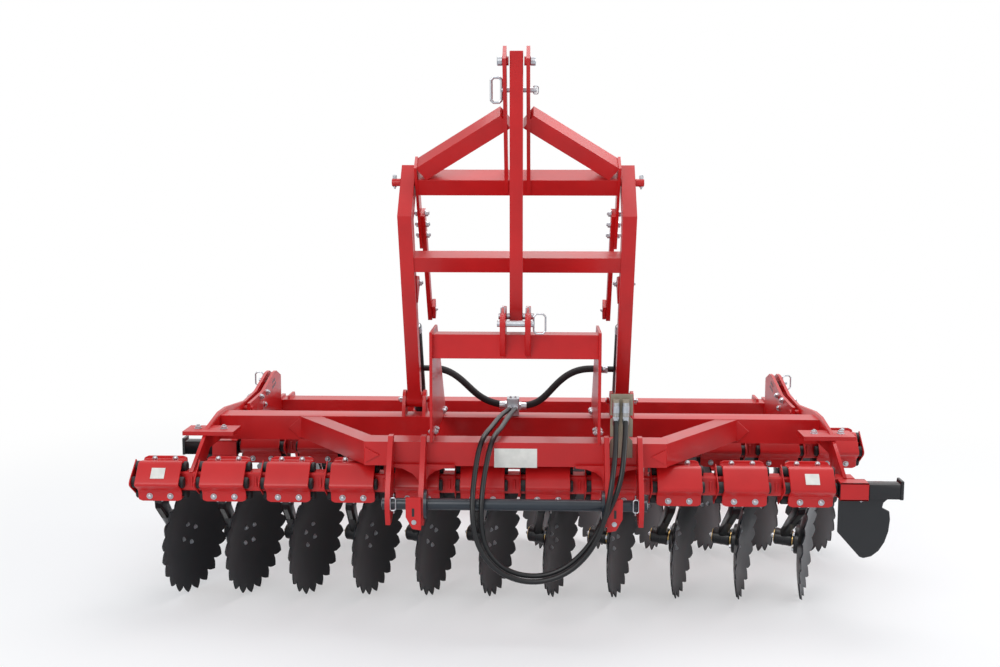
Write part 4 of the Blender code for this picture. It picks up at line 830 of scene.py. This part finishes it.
    def _clamps(self) -> None:
        """Build the bent covers, the keepers and the cords of every clamp."""
        covers, cords, bolts = Solid(), Solid(), Solid()
        front = self._at(strip(rounded(self.front_line, self.cover_bend), self.wall))
        rear = self._at(strip(rounded(self.rear_line, self.cover_bend), self.wall))
        keeper = self._at(strip(rounded(self.keeper_line, self.keeper_bend), self.keeper_width))
        reach = self.cord_reach
        for x in self.centres():
            self._cover(covers, front, x)
            self._cover(covers, rear, x)
            near, far = x - self.side * self.cord_ends[0], x + self.side * self.cord_ends[1]
            covers.plate(keeper, near - 0.0025, near + 0.0025, edge=0.001)
            for y, z in ((-reach, 0.0), (reach, 0.0), (0.0, reach - 0.005), (0.0, -reach)):
                y, z = y + self.row_y, z + BAR_Z
                cords.bar(from_bar(y, z, near), from_bar(y, z, far), self.cord_radius, 18, edge=0.003)
            for step in (-self.bolt_step, self.bolt_step):
                for y, z, washer in self.cover_bolts:
                    place = from_bar(self.row_y + y, BAR_Z + z, x + step)
                    bolts.bolt(place, (0, -1, 0), washer, domed=True)
        covers.piece(self.name + "_covers", Finish.RED)
        cords.piece(self.name + "_cords", Finish.RUBBER)
        bolts.piece(self.name + "_cover_bolts", Finish.ZINC)

    def _arms(self) -> None:
        """Build the arm and the bearing of every disc."""
        arms, rings, bolts = Solid(), Solid(), Solid()
        for joint in self._joints():
            axis, centre = Vector(joint["axis"]), Vector(joint["pos_m"])
            start = centre - axis * self.hub_start
            end = start - axis * self.hub_length
            hub = (start + end) / 2.0
            x = centre.x - self.side * (self.lead + self.arm_top)
            stations = [
                (Vector(from_bar(self.row_y + y, BAR_Z + z, x - self.side * shift)), depth)
                for y, z, shift, depth in self.arm_rings
            ] + [(hub + Vector((0.0, y, z)), depth) for y, z, depth in self.hub_rings]
            arms.loft([
                [
                    (place.x + sx * self.arm_half, place.y + sy * depth, place.z)
                    for sx, sy in ((-1, -1), (1, -1), (1, 1), (-1, 1))
                ]
                for place, depth in stations
            ], 0.009)
            arms.bar(start, end, self.hub_radius, 28, edge=0.003)
            for share in self.rib_shares:
                rib = start.lerp(end, share)
                arms.bar(rib - axis * 0.004, rib + axis * 0.004, self.hub_radius + 0.001, 28)
            rings.bar(start - axis * 0.0005, start + axis * 0.004, self.hub_radius * 0.86, 28)
            rings.bar(end - axis * 0.003, end + axis * 0.001, self.hub_radius * 0.80, 28)
            bolts.bolt(end - axis * 0.003, -axis, 0.013)
            y, z, step = self.arm_bolt
            for side in SIDES:
                bolts.bolt(from_bar(self.row_y + y, BAR_Z + z, x + side * step), (0, 0, -1), 0.010)
        arms.piece(self.name + "_arms", Finish.BLACK)
        rings.piece(self.name + "_bearing_rings", Finish.BRASS)
        bolts.piece(self.name + "_arm_bolts", Finish.ZINC)

    def _reflector(self) -> None:
        """Put the blank pale squares on the two outermost covers of the front row."""
        tiles = Solid()
        (y, z), normal, size = self.tile
        for x in (min(self.centres()), max(self.centres())):
            tiles.slab(from_bar(self.row_y + y, BAR_Z + z, x), normal, size)
        tiles.piece(self.name + "_blank_reflectors", Finish.PALE)

    def build(self) -> None:
        """Build the row from its toolbar outwards."""
        self._toolbar()
        self._clamps()
        self._arms()
        if self.side > 0:
            self._reflector()


@dataclass(frozen=True)
class Route:
    """One hose: its node, radius, crimped ends' radius, finish, and its points from the toolbar's axis."""

    node: str
    radius: float
    ferrule: float
    finish: Finish
    places: tuple


@dataclass
class Hoses:
    """Hydraulic hoses, their fittings, block and holder; the routes repeat the source's."""

    # The curves' spacing of points, and how often each point is averaged with its neighbours
    spacing: float = 0.02
    eased: int = 10
    # The couplers: their X places, their Y, and each step's lower end, upper end and radius
    coupler_x: tuple = (0.412, 0.452)
    coupler_y: float = -0.1293
    coupler_steps: tuple = (
        (0.886, 0.900, 0.0148), (0.900, 0.930, 0.0162), (0.930, 0.944, 0.0150), (0.944, 0.954, 0.0125),
    )
    routes: tuple[Route, ...] = (
        Route("left_supply_hose", 0.011, 0.0135, Finish.HOSE, (
            (-0.036, 0.4597, 0.805), (-0.036, 0.43, 0.805), (-0.06, 0.33, 0.808), (-0.085, 0.19, 0.803),
            (-0.106, 0.05, 0.796), (-0.12, -0.05, 0.796), (-0.135, -0.117, 0.785), (-0.15, -0.17, 0.738),
            (-0.16, -0.22, 0.665), (-0.166, -0.275, 0.6), (-0.167, -0.31, 0.53), (-0.16, -0.325, 0.46),
            (-0.14, -0.333, 0.39), (-0.103, -0.336, 0.33), (-0.045, -0.338, 0.28), (0.03, -0.338, 0.252),
            (0.11, -0.338, 0.25), (0.19, -0.338, 0.275), (0.265, -0.338, 0.33), (0.323, -0.34, 0.41),
            (0.358, -0.341, 0.5), (0.378, -0.338, 0.59), (0.393, -0.302, 0.68), (0.407, -0.225, 0.765),
            (0.411, -0.165, 0.83), (0.412, -0.1293, 0.8597), (0.412, -0.1293, 0.8847),
        )),
        Route("right_supply_hose", 0.011, 0.0135, Finish.HOSE, (
            (-0.01, 0.4597, 0.805), (-0.01, 0.43, 0.805), (-0.025, 0.33, 0.808), (-0.045, 0.19, 0.803),
            (-0.062, 0.05, 0.796), (-0.078, -0.05, 0.796), (-0.092, -0.117, 0.785), (-0.107, -0.17, 0.738),
            (-0.12, -0.22, 0.665), (-0.128, -0.27, 0.6), (-0.132, -0.297, 0.53), (-0.13, -0.305, 0.46),
            (-0.118, -0.31, 0.39), (-0.088, -0.312, 0.335), (-0.035, -0.313, 0.29), (0.035, -0.313, 0.268),
            (0.11, -0.313, 0.266), (0.185, -0.313, 0.288), (0.255, -0.313, 0.34), (0.318, -0.313, 0.42),
            (0.364, -0.313, 0.51), (0.408, -0.307, 0.6), (0.432, -0.28, 0.69), (0.442, -0.225, 0.775),
            (0.45, -0.165, 0.835), (0.452, -0.1293, 0.8597), (0.452, -0.1293, 0.8847),
        )),
        Route("left_cylinder_hose", 0.016, 0.0185, Finish.SLEEVE, (
            (-0.0503, 0.49, 0.815), (-0.09, 0.49, 0.815), (-0.15, 0.5, 0.832), (-0.2, 0.515, 0.866),
            (-0.25, 0.537, 0.915), (-0.3, 0.562, 0.95), (-0.35, 0.59, 0.968), (-0.385, 0.6209, 0.9636),
            (-0.4147, 0.6209, 0.9636),
        )),
        Route("right_cylinder_hose", 0.016, 0.0185, Finish.SLEEVE, (
            (0.0063, 0.49, 0.81), (0.05, 0.49, 0.81), (0.1, 0.498, 0.827), (0.15, 0.514, 0.88),
            (0.2, 0.535, 0.932), (0.25, 0.556, 0.962), (0.3, 0.578, 0.972), (0.35, 0.6, 0.97),
            (0.385, 0.6209, 0.9636), (0.4147, 0.6209, 0.9636),
        )),
    )

    def _smooth(self, places: tuple, radius: float) -> list[Vector]:
        """Return points close together on the smooth curve through a route's places."""
        route = [Vector((x, y + TOOLBAR_Y, z)) for x, y, z in places]
        route = [route[0] * 2.0 - route[1], *route, route[-1] * 2.0 - route[-2]]
        line = []
        for a, b, c, d in zip(route, route[1:], route[2:], route[3:]):
            steps = max(2, round((c - b).length / self.spacing))
            for k in range(steps):
                t = k / steps
                line.append((
                    b * 2.0 + (c - a) * t + (a * 2.0 - b * 5.0 + c * 4.0 - d) * t ** 2
                    + (b * 3.0 - a - c * 3.0 + d) * t ** 3
                ) / 2.0)
        for _ in range(self.eased):
            line[1:-1] = [(a + b * 2.0 + c) / 4.0 for a, b, c in zip(line, line[1:], line[2:])]
        # Between the source's points the smooth curve may not swing out past the front of the source's box
        front = CAD_BOX[0][1] + radius + 0.0004
        return [Vector((p.x, max(p.y, front), p.z)) for p in [*line, route[-2]]]

    def _hose(self, hose: Route) -> None:
        name, radius = hose.node, hose.radius
        line = self._smooth(hose.places, radius)
        curve = bpy.data.curves.new(name, "CURVE")
        curve.dimensions = "3D"
        curve.bevel_depth = radius
        curve.bevel_resolution = 4
        curve.use_fill_caps = True
        spline = curve.splines.new("POLY")
        spline.points.add(len(line) - 1)
        for point, place in zip(spline.points, line):
            point.co = (*place, 1.0)
        curve.materials.append(SHOP.material(hose.finish))
        made = add_object(name + "_line", curve)
        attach(made, "frame")
        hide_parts(name)

    def _fittings(self) -> None:
        """Build the crimped ends, the block with its plugs, and the holder with its couplers."""
        ends = Solid()
        for hose in self.routes:
            places, radius = hose.places, hose.ferrule
            for first, second in ((places[0], places[1]), (places[-1], places[-2])):
                place, along = Vector(first), (Vector(second) - Vector(first)).normalized()
                place.y += TOOLBAR_Y
                ends.bar(place - along * 0.001, place + along * 0.010, radius * 1.05, 6)
                ends.bar(place + along * 0.008, place + along * 0.034, radius, 16, edge=0.001)
        ends.piece("hose_fittings", Finish.ZINC)
        block = Solid()
        low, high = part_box("hose_block")
        block.box(low, high, 0.0025)
        for x in (0.3, 0.7):
            across = low[0] + (high[0] - low[0]) * x
            block.bolt((across, (low[1] + high[1]) / 2.0, high[2] - 0.003), (0, 0, 1), 0.0085)
        block.piece("hose_valve_block", Finish.ZINC, "frame", "hose_block")
        keep_node("hose_holder", "hose_holder_plate", Finish.KHAKI, width=0.0008)
        couplers = Solid()
        for x in self.coupler_x:
            for foot, top, radius in self.coupler_steps:
                couplers.bar(
                    from_bar(self.coupler_y, foot, x), from_bar(self.coupler_y, top, x), radius, 20, edge=0.001
                )
        couplers.piece("hose_couplers", Finish.ZINC)

    def build(self) -> None:
        """Build the four hoses and what they join."""
        for hose in self.routes:
            self._hose(hose)
        self._fittings()


@dataclass
class Fixtures:
    """Pins, wire handles, bolts and blank plates that fasten and mark the frame."""

    # Pivots and pins as (y, z) from the front toolbar's axis
    arm_pivot: tuple = (0.51, 0.835)
    coupling_pivot: tuple = (0.27, 1.83)
    link_foot: tuple = (0.04, 1.275)
    link_head: tuple = (-0.07, 2.315)
    lock_pin: tuple = (0.0063, 2.206)
    tractor_pin: tuple = (-0.14, 1.265)
    cylinder_foot: tuple = (0.76, 0.715)
    cylinder_head: tuple = (0.385, 1.385)
    cylinder_x: float = 0.472
    # Each gland step's ends along the cylinder and its radius
    gland_steps: tuple = ((0.498, 0.526, 0.0315), (0.526, 0.532, 0.024))
    # The headstock's foot bolts
    foot_bolts: tuple = ((0.455, 0.792), (0.515, 0.790), (-0.02, 0.792), (0.04, 0.792))
    # The way up the coupling frame, and its bolts' and hooks' distances down from its pivot
    rise: tuple = (-0.574, 0.819)
    leg_bolts: tuple = (0.165, 0.225, 0.285)
    hook_ends: tuple = (0.690, 0.765)
    hook_bolt: float = 0.727
    hook_depths: tuple = (0.034, -0.026)
    hook_x: tuple = (0.392, 0.4085)
    # The side plates' faces, bracket bolts, plate bolts and setting pin
    plate_x: tuple = (1.327, 1.379)
    bracket_bolts: tuple = (1.300, 1.415)
    plate_bolts: tuple = ((1.17, 0.683), (1.10, 0.735), (1.24, 0.735))
    setting_pin: tuple = (1.455, 0.766)
    # Outlines on the front: the blank label's corners, and plates as (x, z) with their two Y faces
    label_box: tuple = ((-0.1112, 0.663, -0.086), (-0.1095, 0.743, 0.091))
    plates: tuple = (
        (((0.945, 0.713), (0.995, 0.665), (1.047, 0.713), (0.995, 0.761)), 0.4220, 0.4305),
        (((0.560, 0.712), (0.622, 0.745), (0.622, 0.680)), -0.1180, -0.1095),
        (((0.372, 0.580), (0.434, 0.580), (0.434, 0.500), (0.408, 0.452), (0.372, 0.446)), -0.300, -0.286),
    )
    # The hitch's linchpins, and the bolts under the two toolbars' sockets
    linchpin_x: float = 0.489
    hitch_y: float = -0.24
    socket_bolts: tuple = ((-0.078, 0.5365, 1.430), (0.642, 0.5365, -1.430))

    def _loop(self, solid: Solid, place: tuple, half_x: float, half_z: float, radius: float) -> None:
        """Add a closed wire loop with cut corners, square to Y."""
        cut = min(half_x, half_z) * 0.45
        corners = [
            (sx * (half_x - cx), sz * (half_z - cz))
            for sx, sz, cx, cz in (
                (-1, -1, 0, cut), (-1, 1, 0, cut), (-1, 1, cut, 0), (1, 1, cut, 0),
                (1, 1, 0, cut), (1, -1, 0, cut), (1, -1, cut, 0), (-1, -1, cut, 0),
            )
        ]
        points = [(place[0] + dx, place[1], place[2] + dz) for dx, dz in corners]
        solid.wire([*points, points[0]], radius)

    def _across(
        self, solid: Solid, place: tuple, ends: tuple, radius: float, sides: int = 20, edge: float = 0.0,
    ) -> None:
        """Add a round bar along X at a (y, z) place."""
        solid.bar(from_bar(*place, ends[0]), from_bar(*place, ends[1]), radius, sides, edge=edge)

    def _nuts(self, solid: Solid, place: tuple, faces: tuple, washer: float, inner: float = 0.0) -> None:
        """Add heads on both faces of a plate or a fork, on the machine's left and right.

        Args:
            solid: the mesh that gets them.
            place: their (y, z) place.
            faces: the X of the inner and the outer face.
            washer: the washers' radius.
            inner: the inner washer's radius where it is another one.
        """
        for side in SIDES:
            solid.bolt(from_bar(*place, side * faces[1]), (side, 0, 0), washer)
            solid.bolt(from_bar(*place, side * faces[0]), (-side, 0, 0), inner or washer)

    def _along(self, distance: float) -> tuple[float, float]:
        """Return the (y, z) place so far down the coupling frame from its pivot."""
        return tuple(c - r * distance for c, r in zip(self.coupling_pivot, self.rise))

    def _hook(self) -> list[tuple[float, float]]:
        """Return the outline, (y, z) in the frame, of the plate at a coupling leg's foot."""
        corners = []
        for end, depth, share in ((0, 0, 1.0), (1, 0, 0.5), (1, 1, 1.0), (0, 1, 1.0)):
            y, z = self._along(self.hook_ends[end])
            reach = self.hook_depths[depth] * share
            corners.append(from_bar(y + reach * self.rise[1], z - reach * self.rise[0])[1:])
        return corners

    def _coupling(self) -> None:
        """Dress the coupling frame: mast pins, the locking pin with its handle, leg bolts and hooks."""
        zinc, hooks = Solid(), Solid()
        for distance in self.leg_bolts:
            self._nuts(zinc, self._along(distance), (0.409, 0.440), 0.017)
        y, z = self.coupling_pivot
        for side in SIDES:
            self._across(zinc, self.link_head, (side * 0.055, side * 0.078), 0.0195, edge=0.003)
            self._across(hooks, self.link_head, (side * 0.0312, side * 0.0452), 0.0185)
            self._across(hooks, (y, z), (side * 0.506, side * 0.544), 0.0165, edge=0.002)
            zinc.bar(from_bar(y, z - 0.028, side * 0.532), from_bar(y, z + 0.028, side * 0.532), 0.004, 10)
            self._loop(zinc, from_bar(y, z + 0.006, side * 0.532), 0.007, 0.026, 0.0022)
            hooks.plate(self._hook(), *sorted(side * x for x in self.hook_x), edge=0.002)
            zinc.bolt(from_bar(*self._along(self.hook_bolt), side * self.hook_x[0]), (-side, 0, 0), 0.010)
        self._across(zinc, self.lock_pin, (-0.064, 0.082), 0.0105, 16)
        self._loop(zinc, from_bar(*self.lock_pin, -0.083), 0.021, 0.050, 0.0062)
        self._loop(zinc, from_bar(*self.lock_pin, 0.078), 0.010, 0.016, 0.0025)
        zinc.piece("coupling_pins_and_bolts", Finish.ZINC, "coupling_frame")
        hooks.piece("coupling_leg_hooks", Finish.RED, "coupling_frame")

    def _lift_pins(self) -> None:
        """Dress the pivots of the lift arms and the cylinders, and the cylinders' glands."""
        frame_pins, arm_pins = Solid(), Solid()
        foot, head = Vector(self.cylinder_foot), Vector(self.cylinder_head)
        run = (head - foot).normalized()
        for side, label in zip(SIDES, ("left", "right")):
            gland = Solid()
            x = side * self.cylinder_x
            for start, end, radius in self.gland_steps:
                low, high = foot + run * start, foot + run * end
                gland.bar(from_bar(*low, x), from_bar(*high, x), radius, 24, 0.001)
            gland.piece(label + "_cylinder_gland", Finish.ZINC, label + "_barrel")
        self._nuts(frame_pins, self.arm_pivot, (0.421, 0.529), 0.021, 0.018)
        self._nuts(frame_pins, self.cylinder_foot, (0.436, 0.508), 0.016)
        self._nuts(arm_pins, self.cylinder_head, (0.439, 0.505), 0.016)
        for place in self.foot_bolts:
            self._nuts(frame_pins, place, (0.339, 0.351), 0.014)
        for place in (self.tractor_pin, self.link_foot):
            self._across(frame_pins, place, (-0.074, 0.074), 0.0133, edge=0.001)
        y, z = self.tractor_pin
        self._loop(frame_pins, from_bar(y, z, 0.0985), 0.024, 0.040, 0.0036)
        for side in SIDES:
            self._loop(frame_pins, from_bar(y + 0.02, z + 0.050, side * 0.051), 0.008, 0.016, 0.0022)
        frame_pins.piece("frame_pins_and_bolts", Finish.ZINC)
        arm_pins.piece("lift_arm_pins", Finish.ZINC, "lift_arms")

    def _side_plates(self) -> None:
        """Dress the side plates: bracket bolts, painted shade for the depth setting's holes, and the setting pins.
        """
        zinc, hole_shade = Solid(), Solid()
        for place in self.plate_bolts:
            self._nuts(zinc, place, self.plate_x, 0.017)
        for side in SIDES:
            inner, outer = (side * x for x in self.plate_x)
            for x in self.bracket_bolts:
                zinc.bolt(from_bar(0.245, 0.744, side * x), (0, 0, 1), 0.017)
            # Painted shade: black discs across the plates where the depth setting's holes are
            for k in range(7):
                place = (1.385 + 0.024 * (k % 4), 0.735 + 0.028 * (k // 4) + 0.004 * (k % 4))
                self._across(hole_shade, place, (outer + side * 0.0006, inner - side * 0.0006), 0.0085, 14)
            self._across(zinc, self.setting_pin, (outer - side * 0.002, outer + side * 0.036), 0.008, 14)
            y, z = self.setting_pin
            self._loop(zinc, from_bar(y, z + 0.004, outer + side * 0.034), 0.021, 0.036, 0.004)
        zinc.piece("side_plate_bolts", Finish.ZINC)
        hole_shade.piece("depth_setting_holes", Finish.BLACK)

    def _front(self) -> None:
        """Dress the front: blank label, joint plates, hitch ears with painted shade for their slots, linchpins and
        the socket's bolts.
        """
        label, plates, zinc, slot_shade = Solid(), Solid(), Solid(), Solid()
        label.box(*(from_bar(*corner) for corner in self.label_box), 0.0004)
        x, y = self.linchpin_x, self.hitch_y
        for side in SIDES:
            for outline, front, back in self.plates:
                corners = [(side * px, pz) for px, pz in outline]
                plates.plate(corners, front + TOOLBAR_Y, back + TOOLBAR_Y, "Y", 0.0015)
            # Painted shade: a thin black sheet on each hitch ear where its slot is
            slot_shade.slab(from_bar(-0.3002, 0.520, side * 0.404), (0, -1, 0), (0.010, 0.034, 0.0006), 0.0)
            zinc.bolt(from_bar(-0.300, 0.480, side * 0.401), (0, -1, 0), 0.010)
            zinc.bar(from_bar(y, 0.500, side * x), from_bar(y, 0.582, side * x), 0.0045, 12)
            self._loop(zinc, from_bar(y - 0.028, 0.545, side * x), 0.011, 0.026, 0.0025)
            self._across(zinc, (y, 0.54), (side * 0.529, side * 0.537), 0.016, edge=0.001)
        for place in self.socket_bolts:
            zinc.bolt(from_bar(*place), (0, 0, -1), 0.012)
        label.piece("blank_label_plate", Finish.PALE)
        plates.piece("joint_plates_and_ears", Finish.RED)
        slot_shade.piece("ear_slots", Finish.BLACK)
        zinc.piece("hitch_pins", Finish.ZINC)

    def build(self) -> None:
        """Add them all."""
        self._coupling()
        self._lift_pins()
        self._side_plates()
        self._front()


def main() -> None:
    """Build the sub-assemblies in order and report each."""
    logging.basicConfig(level=logging.INFO, format="%(message)s")
    Studio().build()
    for part in (
        Hoses(),
        MainFrame(),
        LiftFrame(),
        Gang("front_gang", 0.0, 1.0),
        Gang("rear_gang", ROW_DISTANCE, -1.0),
        DiscSet(),
        Fixtures(),
    ):
        part.build()
        LOG.info("built %s", type(part).__name__)


if __name__ == "__main__":
    main()
